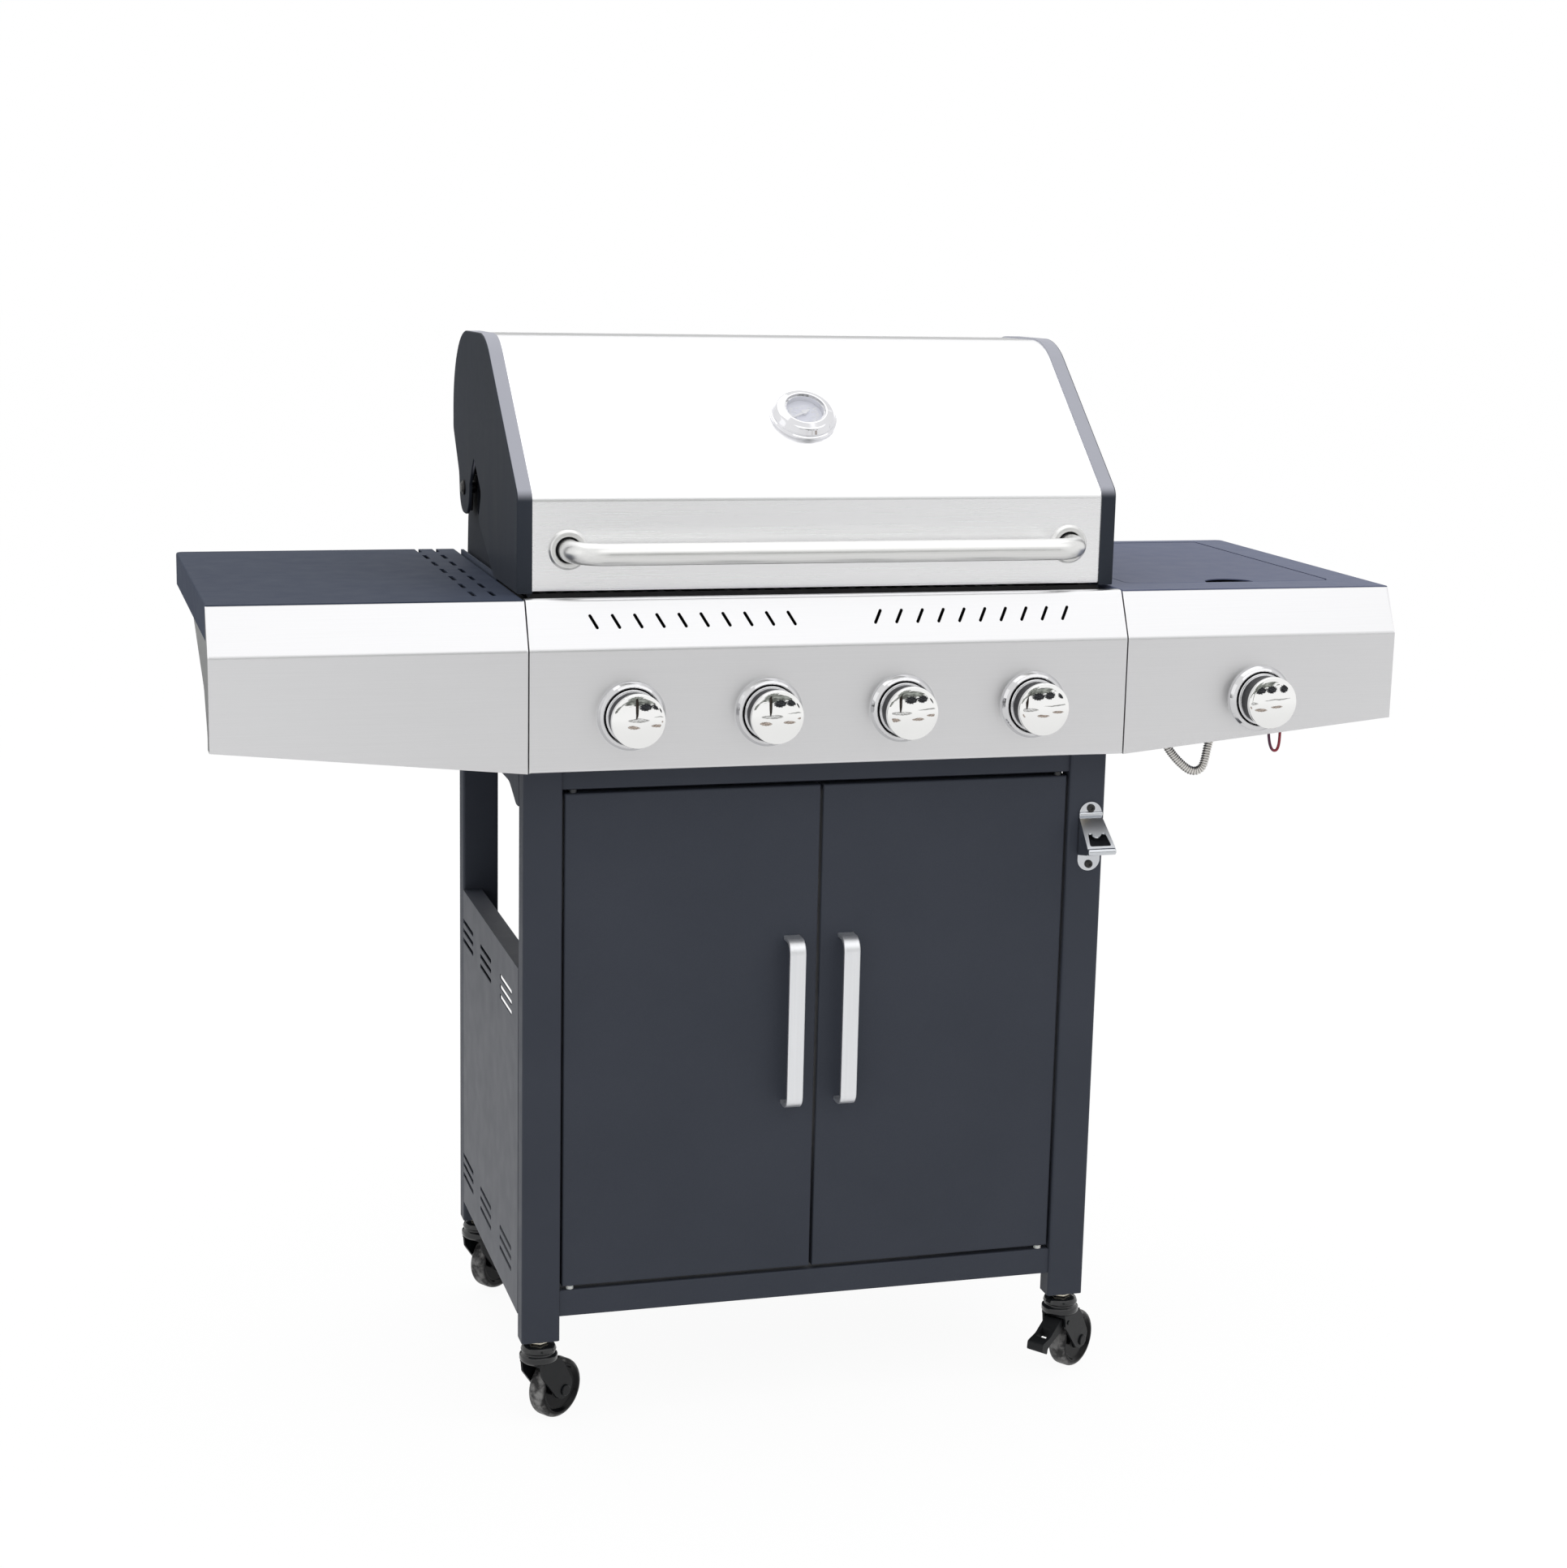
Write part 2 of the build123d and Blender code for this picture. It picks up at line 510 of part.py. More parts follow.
def gas_manifold():
    """Feed pipe with its hose inlet, four valves on it, and the side burner's valve with its igniter."""
    left, right = HOSE_INLET_X - 8, 296
    y, z = MANIFOLD_Y, MANIFOLD_Z
    pipe = rod((left, y, z), (right, y, z), MANIFOLD_RADIUS)
    pipe += rod((right, y, z), (right + 24, y, z), 7)
    pipe += Pos(HOSE_INLET_X, y, 0) * turned([(0, z), (6.6, z), (6.6, z - 32), (5.6, z - 33), (0, z - 33)])
    pipe += Pos(HOSE_INLET_X, y, z - 17) * extrude(RegularPolygon(11, 6), 4, both=True)
    pipe -= rod((left + 2, y, z), (right + 24, y, z), 4)
    pipe -= Pos(HOSE_INLET_X, y, z - 20) * Cylinder(3.5, 40)
    valves = []
    for x in KNOB_X:
        pipe -= Pos(x, y, z + 5) * Cylinder(4, 10)
        stub = rod((x, y, z + 1), (x, y, KNOB_Z - 10), 4)
        valves.append((facing_front(x) * valve_body()) + stub)
    side = facing_front(SIDE_KNOB_X) * valve_body()
    inlet_x, inlet_z = SIDE_KNOB_X - 38, KNOB_Z - 25
    side += rod((SIDE_KNOB_X - 10, y, KNOB_Z), (inlet_x, y, KNOB_Z), 6)
    side += rod((inlet_x, y, KNOB_Z + 6), (inlet_x, y, inlet_z), 6)
    side += block((SIDE_KNOB_X + 11, SIDE_KNOB_X + 40), (y - 9, y + 9), (KNOB_Z - 8, KNOB_Z + 9))
    side -= rod((inlet_x, y, KNOB_Z - 8), (inlet_x, y, inlet_z), 3)
    return group([pipe, *valves, side])


def firebox():
    """Steel box, open below, with grate ledges, hinge ears, shelf hangers and a rear baffle."""
    half, wall, front, back = BOX_HALF, BOX_WALL, BOX_FRONT, BOX_BACK
    side = [(front, BOX_BOTTOM), (front, BOX_RIM), (-32, BOX_RIM), (66, 914), (PIVOT_Y - EAR_RADIUS, 917),
            (PIVOT_Y - EAR_RADIUS, PIVOT_Z + EAR_RADIUS), (PIVOT_Y + EAR_RADIUS, PIVOT_Z + EAR_RADIUS),
            (PIVOT_Y + EAR_RADIUS, 917), (200, 914), (206, BOX_RIM), (back, BOX_RIM - 3), (back, BOX_BOTTOM)]
    radii = (0, 0, 20, 10, 8, EAR_RADIUS - 0.5, EAR_RADIUS - 0.5, 8, 10, 6, 0, 0)
    cheek = across(outline(side, radii), (half - wall, half))
    cheek -= Pos(half, PIVOT_Y, PIVOT_Z) * Cylinder(HINGE_PIN_RADIUS + RUNNING_GAP, 20, rotation=(0, 90, 0))
    cheek += block((half - wall, SHELF_INNER), (-140, 205), (WORK_TOP - 8, WORK_TOP - 6))
    ridge = [(half + 5.5, -22), (half + 8.5, -22), (half + 8.5, 200), (half + 5.5, 200)]
    cheek += upward(outline(ridge, 1.2), (WORK_TOP - 7, WORK_TOP + 3))
    for y in (-90, 130):
        cheek += block((half - 1, SHELF_INNER), (y - 20, y + 20), (838, WORK_TOP - 6))
    for y in (70, 168):
        cheek += block((half - 18, half), (y - 7, y + 7), (888, 890))
    cheek += block((270 - 8.5, half), (front, back), (BOX_BOTTOM, BOX_BOTTOM + wall))
    cheek += block((267.5, 269), (front + 6, back), (706, BOX_BOTTOM))
    cheek += block((263.5, 269), (front + 6, back), (706, 707.5))
    box = cheek + mirrored(cheek)
    for y, out, top in ((front, 1, WORK_TOP + 0.5), (back, -1, BOX_RIM - 3)):
        y_wall = (min(y, y + out * wall), max(y, y + out * wall))
        y_ledge = (min(y, y + out * 11), max(y, y + out * 11))
        box += block((-half, half), y_wall, (BOX_BOTTOM, top))
        for z in (GRATE_Z - 2, 786):
            box += block((-half, half), y_ledge, (z, z + 2))
    box += block((-half, half), (BAFFLE_Y, BAFFLE_Y + wall), (GRATE_Z + GRATE_THICK + 2, BAFFLE_TOP))
    for x in KNOB_X:
        box -= Pos(x, front, KNOB_Z) * Cylinder(BURNER_RADIUS + 0.3, 12, rotation=(90, 0, 0))
        box -= Pos(x, back, KNOB_Z) * Cylinder(4, 12, rotation=(90, 0, 0))
    return box


def cooking_grates():
    """Two cast grates: a frame with bars from front to back and two cross bars below."""
    half = BOX_HALF - BOX_WALL - 1.5
    front, back = BOX_FRONT + BOX_WALL + 2, BOX_BACK - BOX_WALL - 2
    width, depth = half - 1.5, back - front
    middle = (half + 1.5) / 2
    bars, bar = 17, 7
    gap = (width - bar) / (bars - 1)
    grate = block((1.5, half), (front, back), (GRATE_Z, GRATE_Z + GRATE_THICK))
    grate = fillet(grate.edges().filter_by(Axis.Z), 8)
    cut = upward(RectangleRounded(gap - bar, depth - 24, 3), (GRATE_Z - 1, GRATE_Z + GRATE_THICK + 1))
    for k in range(bars - 1):
        grate -= Pos(1.5 + bar / 2 + gap * (k + 0.5), (front + back) / 2, 0) * cut
    for y in (-60, 135):
        grate += block((1.5 + bar, half - bar), (y - 5, y + 5), (GRATE_Z, GRATE_Z + 6))
    return both_sides(grate)


def flame_tamers():
    """Folded roofs over the burners, resting on the firebox's lower ledges."""
    roof = [(-58, 788), (-50, 788), (0, 816), (50, 788), (58, 788)]
    sheet = along(folded(roof, (3, 4, 3), 0, -SHEET), (BOX_FRONT + BOX_WALL + 1, BOX_BACK - BOX_WALL - 1))
    return group([Pos(x, 0, 0) * sheet for x in KNOB_X])


def burner_tubes():
    """Burner tubes with an open mouth over the valve's jet, an air window and a rear locating stub."""
    mouth, end = -160, 200
    tube = rod((0, mouth, KNOB_Z), (0, end, KNOB_Z), BURNER_RADIUS)
    tube -= rod((0, mouth, KNOB_Z), (0, end - 2, KNOB_Z), BURNER_RADIUS - TUBE_WALL)
    tube += rod((0, end - 2, KNOB_Z), (0, BOX_BACK, KNOB_Z), 4)
    tube -= block((-20, 20), (-157, -151.5), (KNOB_Z - 5, KNOB_Z + 5))
    return group([Pos(x, 0, 0) * tube for x in KNOB_X])


def warming_rack():
    """Wire rack on four legs that stand on tabs in the firebox."""
    x, front, back = BOX_HALF - 14, 70, 168
    rack = rod((-x, front, RACK_Z), (x, front, RACK_Z), 3) + rod((-x, back, RACK_Z), (x, back, RACK_Z), 3)
    for side in (-x, x):
        for y in (front, back):
            rack += rod((side, y, 890), (side, y, RACK_Z), 3) + Pos(side, y, RACK_Z) * Sphere(3)
    count = 13
    for k in range(count):
        bar = -x + 40 + (2 * x - 80) * k / (count - 1)
        rack += rod((bar, front, RACK_Z + 1.5), (bar, back, RACK_Z + 1.5), 2)
    return rack


def grease_tray():
    """Pan with side lips that ride on the firebox's runners, a pull at the back and a drain hole."""
    half, front, back, low, high = 260, -138, 205, 682, 709
    tray = block((-half, half), (front, back), (low, high))
    tray = fillet(tray.edges().filter_by(Axis.Z), 10)
    tray -= block((-half + SHEET, half - SHEET), (front + SHEET, back - SHEET), (low + SHEET, high))
    lips = block((-half - 5.5, half + 5.5), (front + 12, back - 12), (high - SHEET, high))
    tray += lips - block((-half + 0.6, half - 0.6), (front, back), (low, high + 1))
    pull = [(back - 0.6, high - SHEET), (back + 18, high - SHEET), (back + 18, low + 8)]
    tray += across(folded(pull, (5,), 0, SHEET), (-70, 70))
    tray -= Pos(0, 40, low) * Cylinder(14, 10)
    for side in (-1, 1):
        tray += Pos(side * 45.5, 40, (low + 670.8) / 2) * Box(SHEET, 40, low - 670.8 + 1)
        tray += Pos(side * 43, 40, 671.4) * Box(6.2, 40, SHEET)
    return tray


def grease_cup():
    """Pressed cup that hangs by its rim between two hooks under the drain."""
    cup = turned([(0, 634), (33, 634), (38, 672), (44, 672), (44, 673.2), (36.9, 673.2), (32, 635.2),
                  (0, 635.2)])
    return Pos(0, 40, 0) * cup


def side_burner():
    """Mixing tube from the side valve, the burner head with its cap, and the ignition electrode."""
    x, y = SIDE_BURNER
    tube_x, radius = SIDE_KNOB_X, 9
    path = FilletPolyline((tube_x, -160, KNOB_Z), (tube_x, -30, KNOB_Z), (x, y, KNOB_Z), (x, y, 828),
                          radius=(60, 12))
    tube = sweep(Plane(origin=path @ 0, z_dir=path % 0) * Circle(radius), path)
    tube -= rod((tube_x, -160, KNOB_Z), (tube_x, -60, KNOB_Z), radius - TUBE_WALL)
    head = Pos(x, y, 0) * turned([(0, 824), (22, 824), (36, 838), (36, 844), (0, 844)], (0, 4, 3, 1, 0))
    cap = Pos(x, y, 0) * turned([(0, 844), (32, 844), (34, 848), (26, 853), (0, 853)], (0, 1, 1, 3, 0))
    ex, ey, ez = ELECTRODE
    electrode = rod((ex, ey, ez), (ex, ey, 842), 3) + rod((ex, ey, 840), (ex - 8, ey + 2, 848), 1.2)
    return group([tube + head, cap, electrode])


def side_burner_grate():
    """Cast pan support: two bars across the well, two fingers between them and a ring."""
    x, y = SIDE_BURNER
    low, high = WELL_LEDGE, WELL_LEDGE + 7
    ring = upward(Circle(62) - Circle(55), (low, high))
    left, right = WELL_X[0] + 5, WELL_X[1] - 5
    bars = block((left - x, right - x), (-4, 4), (low, high)) + block((-4, 4), (-100, 100), (low, high))
    bars -= Pos(0, 0, low) * Cylinder(26, 40)
    for side in (-100, 100):
        bars += block((left - x, right - x), (side - 3.5, side + 3.5), (low, high))
    return Pos(x, y, 0) * (ring + bars)


def lid_line():
    """Outer line of the lid in (y, z), from its front lower edge over the top to the back."""
    rise = LID_TOP - LID_BEND
    crest = LID_FRONT + rise / math.tan(math.radians(LID_SLOPE))
    return [(LID_FRONT, LID_BOTTOM), (LID_FRONT, LID_BEND), (crest, LID_TOP), (LID_BACK, LID_TOP - 3),
            (LID_BACK, LID_BACK_BOTTOM)]


LID_RADII = (15, 85, 88)


def gauge_plane():
    """Plane on the lid's slope at the thermometer, with its normal outwards."""
    slope = math.radians(LID_SLOPE)
    z = LID_BEND + (GAUGE_Y - LID_FRONT) * math.tan(slope) - SKIN_INSET / math.cos(slope)
    return Plane(origin=(0, GAUGE_Y, z), x_dir=(1, 0, 0), z_dir=(0, -math.sin(slope), math.cos(slope)))


def lid_skin():
    """One sheet from the front hem over the top to the back hem, between the end caps."""
    line = lid_line()
    hems = [(LID_FRONT + 14, LID_BOTTOM)] + line + [(LID_BACK - 12, LID_BACK_BOTTOM)]
    half = LID_END - LID_BAND
    skin = across(folded(hems, (4, *LID_RADII, 4), SKIN_INSET, SKIN_INSET + SHEET), (-half, half))
    return skin - extrude(gauge_plane() * Circle(4.2), 12, both=True)


def lid_right_cap():
    """Cast end cap: a plate with the hinge lobe, a band round the skin's edge and a lip under it."""
    line = lid_line()
    lobe = [(189, 957), (182, 916), (126, 916), (122, 950), (95, 981), (50, 949), (66, 918),
            (-26, LID_BOTTOM)]
    radii = (0, *LID_RADII, 12, 18, 27.5, 27.5, 8, 5, 8, 8, 25)
    inner = LID_END - LID_BAND
    plate = across(outline(line + lobe, radii), (LID_END - 3, LID_END))
    plate = chamfer(plate.faces().sort_by(Axis.X)[-1].edges(), 0.8)
    plate -= Pos(LID_END, PIVOT_Y, PIVOT_Z) * Cylinder(HINGE_PIN_RADIUS, 20, rotation=(0, 90, 0))
    depth = SKIN_INSET + SHEET
    band = across(folded(line, LID_RADII, 0, depth + 2), (inner, LID_END - 2))
    clear = 5
    lip_line = [(LID_FRONT, LID_BOTTOM + clear), *line[1:-1], (LID_BACK, LID_BACK_BOTTOM + clear)]
    lip = across(folded(lip_line, LID_RADII, depth, depth + 2), (inner - 10, inner + 1))
    return plate + band + lip


def lid_hinge_pins():
    """Shouldered pins through the caps' lobes into the firebox's ears."""
    inner = BOX_HALF - 6
    pin = turned([(0, inner), (4, inner), (4, LID_END), (8, LID_END), (8, LID_END + 2), (5, LID_END + 4),
                  (0, LID_END + 4)])
    pin += turned([(4, BOX_HALF + 1), (7, BOX_HALF + 1), (7, LID_END - 3), (4, LID_END - 3)])
    return both_sides(Pos(0, PIVOT_Y, PIVOT_Z) * Rot(0, 90, 0) * pin)


def lid_handle():
    """Bent tube that stands off the lid's front on two feet."""
    foot, y0 = LID_HANDLE_FOOT, LID_FRONT + SKIN_INSET
    y1 = y0 - LID_HANDLE_REACH
    path = FilletPolyline((-foot, y0, LID_HANDLE_Z), (-foot, y1, LID_HANDLE_Z), (foot, y1, LID_HANDLE_Z),
                          (foot, y0, LID_HANDLE_Z), radius=LID_HANDLE_BEND)
    start = Plane(origin=path @ 0, z_dir=path % 0)
    tube = sweep(start * Circle(LID_HANDLE_RADIUS), path)
    return tube - sweep(start * Circle(LID_HANDLE_RADIUS - TUBE_WALL), path)


def lid_handle_rings():
    """Rounded rings on the lid round the handle's feet, with a narrow gap to the tube."""
    bore, rim = LID_HANDLE_RADIUS + 1.8, 20
    ring = turned([(bore, 0), (rim, 0), (rim, 3), (rim - 2.2, 6), (bore, 6)], (0, 0, 1.4, 1.8, 1.8))
    face = Plane(origin=(LID_HANDLE_FOOT, LID_FRONT + SKIN_INSET, LID_HANDLE_Z), x_dir=(1, 0, 0),
                 z_dir=(0, -1, 0))
    return both_sides(face * ring)


def thermometer_case():
    """Domed chrome bezel on a cup, with the probe through the lid."""
    r, dial, glass = GAUGE_RADIUS, DIAL_RADIUS + 0.1, GLASS_RADIUS + 0.1
    case = turned([(0, 0), (r - 1, 0), (r, 1), (r, 3.4), (r - 2, 4.4), (r - 2, 6), (r - 5.5, 11.6),
                   (glass + 1.5, 14), (glass, 14), (glass, 12), (dial, 12), (dial, 3), (0, 3)],
                  (0, 0.4, 0.4, 0.8, 0.6, 2, 5, 0.7, 0.4, 0, 0, 0, 0))
    case += Pos(0, 0, -30) * Cylinder(4, 60)
    case += Pos(0, 0, -7) * extrude(RegularPolygon(9, 6), 2.5, both=True)
    return gauge_plane() * (case - Pos(0, 0, 6) * Cylinder(1.5 + RUNNING_GAP, 12))


def thermometer_dial():
    dial = turned([(2.2, 3), (DIAL_RADIUS, 3), (DIAL_RADIUS, 6), (2.2, 6)])
    return gauge_plane() * dial


def thermometer_glass():
    return gauge_plane() * turned([(0, 12), (GLASS_RADIUS, 12), (GLASS_RADIUS, 13), (12, 13.8), (0, 14)])


def thermometer_needle():
    """Pointer with a counterweight on its spindle."""
    needle = turned([(0, 1), (1.5, 1), (1.5, 7), (3, 7), (3, 9), (0, 9)])
    blade = outline([(-1.5, -6), (1.5, -6), (1.2, 5), (0.4, 15.5), (-0.4, 15.5), (-1.2, 5)])
    return gauge_plane() * Rot(0, 0, 120) * (needle + upward(blade, (7.4, 8.4)))


def caster_plane(corner):
    """Plane on the floor under a leg: X runs back along the caster's trail, Z is up."""
    x, y = leg_corners()[corner]
    turn = math.radians(CASTER_TURN)
    return Plane(origin=(x, y, 0), x_dir=(math.cos(turn), math.sin(turn), 0), z_dir=(0, 0, 1))


def caster_fork(braked):
    """Stem, double swivel head and two cheeks, with the axle and, on two of them, the brake's pin."""
    head_low = 69
    stem, stem_low, stem_top = CASTER_STEM_RADIUS, 91.5, 112
    head = turned([(0, head_low), (17, head_low), (20, head_low + 3), (20, 77), (17, 79), (17, 80.5),
                   (19, 82), (17, 87), (9, 89), (9, stem_low), (stem, stem_low), (stem, stem_top),
                   (0, stem_top)],
                  (0, 1, 2, 2, 1, 1, 2, 3, 1, 1, 0, 0.5, 0))
    trail, axle_z = CASTER_TRAIL, WHEEL_RADIUS
    cheek = [(-12, 72), (18, 72), (trail + 13, axle_z + 4), (trail, axle_z - 11), (trail - 13, axle_z - 4),
             (-10, 56)]
    cheek = outline(cheek, (3, 18, 11, 9, 11, 6))
    reach = FORK_GAP / 2 + FORK_PLATE
    crown = block((-12, 18), (-reach, reach), (head_low - 2, head_low + 2))
    fork = head + crown
    for side in (-1, 1):
        low = side * (FORK_GAP + FORK_PLATE) / 2 - FORK_PLATE / 2
        fork += along(cheek, (low, low + FORK_PLATE))
    fork -= Pos(trail, 0, axle_z) * Cylinder(AXLE_RADIUS, 60, rotation=(90, 0, 0))
    if braked:
        fork += Pos(*BRAKE_PIVOT) * Cylinder(BRAKE_PIN_RADIUS, 2 * reach + 2, rotation=(90, 0, 0))
    head_out = reach + 2
    axle = Pos(trail, 0, axle_z) * Rot(90, 0, 0) * turned(
        [(0, -head_out), (6, -head_out), (6, -reach), (AXLE_RADIUS, -reach), (AXLE_RADIUS, reach),
         (6, reach), (6, head_out), (0, head_out)], (0, 1, 0, 0, 0, 0, 1, 0))
    return group([fork, axle])


def caster_wheel():
    """Solid wheel with a crowned tread, dished sides and a hub."""
    half, r = WHEEL_WIDTH / 2, WHEEL_RADIUS
    bore = AXLE_RADIUS + RUNNING_GAP
    hub = FORK_GAP / 2 - 0.5
    dish = half - 3.5
    section = [(bore, -hub), (9, -hub), (11, -dish), (22, -dish), (25, -half), (r, -half), (r, half),
               (25, half), (22, dish), (11, dish), (9, hub), (bore, hub)]
    wheel = turned(section, (0, 1, 2, 2, 1, 6, 6, 1, 2, 2, 1, 0))
    return Pos(CASTER_TRAIL, 0, WHEEL_RADIUS) * Rot(90, 0, 0) * wheel


def brake_pedal():
    """Pressed lever with a hooked tip, on a pin between the fork's cheeks."""
    side = [(2, 65), (-12, 65), (-32, 51), (-47, 47), (-48, 38), (-38, 33), (-37, 39), (-30, 43), (-14, 50),
            (-10, 55), (2, 56)]
    lever = along(outline(side, (3, 6, 8, 3, 3, 1.5, 3, 6, 4, 3, 3)), (-10, 10))
    lever -= Pos(*BRAKE_PIVOT) * Cylinder(BRAKE_PIN_RADIUS + RUNNING_GAP, 40, rotation=(90, 0, 0))
    return lever - block((-36, -24), (-6, 6), (30, 70))


def cord_path(points):
    """Straight runs joined by arcs as large as the runs allow."""
    route = [Vector(*p) for p in points]
    radii = []
    for a, b, c in zip(route, route[1:], route[2:]):
        turn = math.radians((b - a).get_angle(c - b))
        radii.append(0.45 * min((b - a).length, (c - b).length) / math.tan(turn / 2))
    path = FilletPolyline(*route, radius=radii)
    print("cord length", round(path.length, 1), "radii", [round(r, 1) for r in radii])
    return path


def flex_gas_pipe():
    """Corrugated pipe that hangs in a loop from the manifold's end to the side burner's valve."""
    y = MANIFOLD_Y
    start_x = 320
    inlet_x, inlet_z = SIDE_KNOB_X - 38, KNOB_Z - 25
    route = [(start_x, y, MANIFOLD_Z), (338, y, MANIFOLD_Z), (355, y, 729), (367, y, 714), (376, y, 699),
             (385.5, y, 687.5), (395, y, 679), (402, y, 674.3), (409.8, y, 672.6), (417, y, 676.8),
             (419.6, y, 686.5), (421.5, y, 698), (inlet_x, y, 713.5), (inlet_x, y, inlet_z)]
    path = cord_path(route)
    radius = PIPE_DIAMETER / 2
    ends = 9
    ribs = round((path.length - 2 * ends) / RIB_PITCH)
    pitch = (path.length - 2 * ends) / ribs
    stations = [(0, radius - RIB_DEPTH)]
    for k in range(ribs):
        for part, depth in ((0, RIB_DEPTH), (0.25, RIB_DEPTH), (0.45, 0), (0.8, 0)):
            stations.append((ends + (k + part) * pitch, radius - depth))
    stations += [(path.length - ends, radius - RIB_DEPTH), (path.length, radius - RIB_DEPTH)]
    rings = []
    for distance, ring_radius in stations:
        along_path = distance / path.length
        plane = Plane(origin=path @ along_path, x_dir=(0, 1, 0), z_dir=path % along_path)
        rings.append(plane * Circle(ring_radius))
    pipe = loft(rings, ruled=True)
    bore = sweep(Plane(origin=path @ 0, x_dir=(0, 1, 0), z_dir=path % 0) * Circle(PIPE_BORE / 2), path)
    print("pipe ribs", ribs, "bore volume ratio", bore.volume / (math.pi * PIPE_BORE ** 2 / 4 * path.length))
    return pipe - bore


def igniter_wire():
    """Limp wire that hangs in a small loop below the fascia and runs back to the electrode."""
    y = MANIFOLD_Y
    route = [(490.5, y, KNOB_Z - 8), (490.5, y, 733), (491, y, 719), (492.3, y, 706), (494.3, y, 697.5),
             (497.6, y, 692.2), (502.2, y, 692.2), (504.4, y, 697.8), (505, y, 708), (505.5, y + 2, 723),
             (506, y + 12, 741), (506, y + 38, 756), (504, y + 80, 764), (502, y + 125, 769),
             (501.5, y + 162, 775), (501, y + 186, 785), (ELECTRODE[0], y + 198, 796), ELECTRODE]
    path = cord_path(route)
    wire = sweep(Plane(origin=path @ 0, z_dir=path % 0) * Circle(WIRE_DIAMETER / 2), path)
    print("wire volume ratio", wire.volume / (math.pi * WIRE_DIAMETER ** 2 / 4 * path.length))
    return wire


def named_parts():
    """Every node of the grill by name."""
    parts = {
        "legs": legs(),
        "top_rails": top_rails(),
        "right_side_panel": right_side_panel(),
        "left_side_panel": mirrored(right_side_panel()),
        "base_shelf": base_shelf(),
        "door_hinge_pins": door_hinge_pins(),
        "right_door": right_door(),
        "left_door": mirrored(right_door()),
        "right_door_handle": right_door_handle(),
        "left_door_handle": mirrored(right_door_handle()),
        "bottle_opener": bottle_opener(),
        "control_panel": control_panel(),
        "left_fascia": fascia(-1),
        "right_fascia": fascia(1),
        "left_shelf": left_shelf(),
        "right_shelf": right_shelf(),
        "side_burner_lid": side_burner_lid(),
        "side_burner": side_burner(),
        "side_burner_grate": side_burner_grate(),
        "knob_bezels": group([facing_front(x) * knob_bezel() for x in (*KNOB_X, SIDE_KNOB_X)]),
        "gas_manifold": gas_manifold(),
        "firebox": firebox(),
        "cooking_grates": cooking_grates(),
        "flame_tamers": flame_tamers(),
        "burner_tubes": burner_tubes(),
        "warming_rack": warming_rack(),
        "grease_tray": grease_tray(),
        "grease_cup": grease_cup(),
        "lid_skin": lid_skin(),
        "lid_right_cap": lid_right_cap(),
        "lid_left_cap": mirrored(lid_right_cap()),
        "lid_hinge_pins": lid_hinge_pins(),
        "lid_handle": lid_handle(),
        "lid_handle_rings": lid_handle_rings(),
        "thermometer_case": thermometer_case(),
        "thermometer_dial": thermometer_dial(),
        "thermometer_glass": thermometer_glass(),
        "thermometer_needle": thermometer_needle(),
        "flex_gas_pipe": flex_gas_pipe(),
        "igniter_wire": igniter_wire(),
    }
    for number, x in enumerate((*KNOB_X, SIDE_KNOB_X), start=1):
        name = "side" if x == SIDE_KNOB_X else str(number)
        parts[f"knob_{name}"] = facing_front(x) * knob()
        parts[f"valve_plug_{name}"] = facing_front(x) * valve_plug()
    corners = ("front_left", "front_right", "rear_left", "rear_right")
    for number, corner in enumerate(corners):
        plane = caster_plane(number)
        braked = corner.endswith("right")
        parts[f"caster_fork_{corner}"] = plane * caster_fork(braked)
        parts[f"caster_wheel_{corner}"] = plane * caster_wheel()
        if braked:
            parts[f"brake_pedal_{corner}"] = plane * brake_pedal()
    return parts


os.makedirs("parts", exist_ok=True)
for node, shape in named_parts().items():
    export_step(shape, f"parts/{node}.step")
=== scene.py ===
import json
import math

import bpy
from mathutils import Matrix, Vector


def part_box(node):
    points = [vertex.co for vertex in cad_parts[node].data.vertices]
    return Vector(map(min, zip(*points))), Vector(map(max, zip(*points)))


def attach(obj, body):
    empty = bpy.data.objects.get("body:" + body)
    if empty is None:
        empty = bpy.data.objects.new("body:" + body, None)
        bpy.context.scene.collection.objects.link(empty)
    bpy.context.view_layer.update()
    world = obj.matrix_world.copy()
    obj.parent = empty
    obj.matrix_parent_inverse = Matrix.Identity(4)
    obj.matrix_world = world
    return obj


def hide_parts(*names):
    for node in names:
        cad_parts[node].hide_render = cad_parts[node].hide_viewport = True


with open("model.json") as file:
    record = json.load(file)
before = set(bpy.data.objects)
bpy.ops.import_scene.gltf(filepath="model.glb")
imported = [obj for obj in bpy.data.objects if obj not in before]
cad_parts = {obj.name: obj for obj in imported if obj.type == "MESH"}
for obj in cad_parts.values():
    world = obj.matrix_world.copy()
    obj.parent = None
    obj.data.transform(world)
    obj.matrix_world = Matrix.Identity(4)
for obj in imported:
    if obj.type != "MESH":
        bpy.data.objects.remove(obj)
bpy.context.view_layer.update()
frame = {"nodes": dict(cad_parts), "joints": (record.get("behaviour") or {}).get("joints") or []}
scene = bpy.context.scene
scene.view_settings.view_transform = "Standard"

# Camera: it stands in front of the grill and to its left, a little above the hood,
# with a short telephoto lens and a slight roll.
EYE = Vector((-0.7995, -2.7755, 1.2345))
LOOK = Vector((0.273429, 0.940339, -0.202482)).normalized()
RIGHT = Vector((0.961257, -0.274775, 0.021998)).normalized()
LENS_MM = 62.64
SENSOR_MM = 36.0

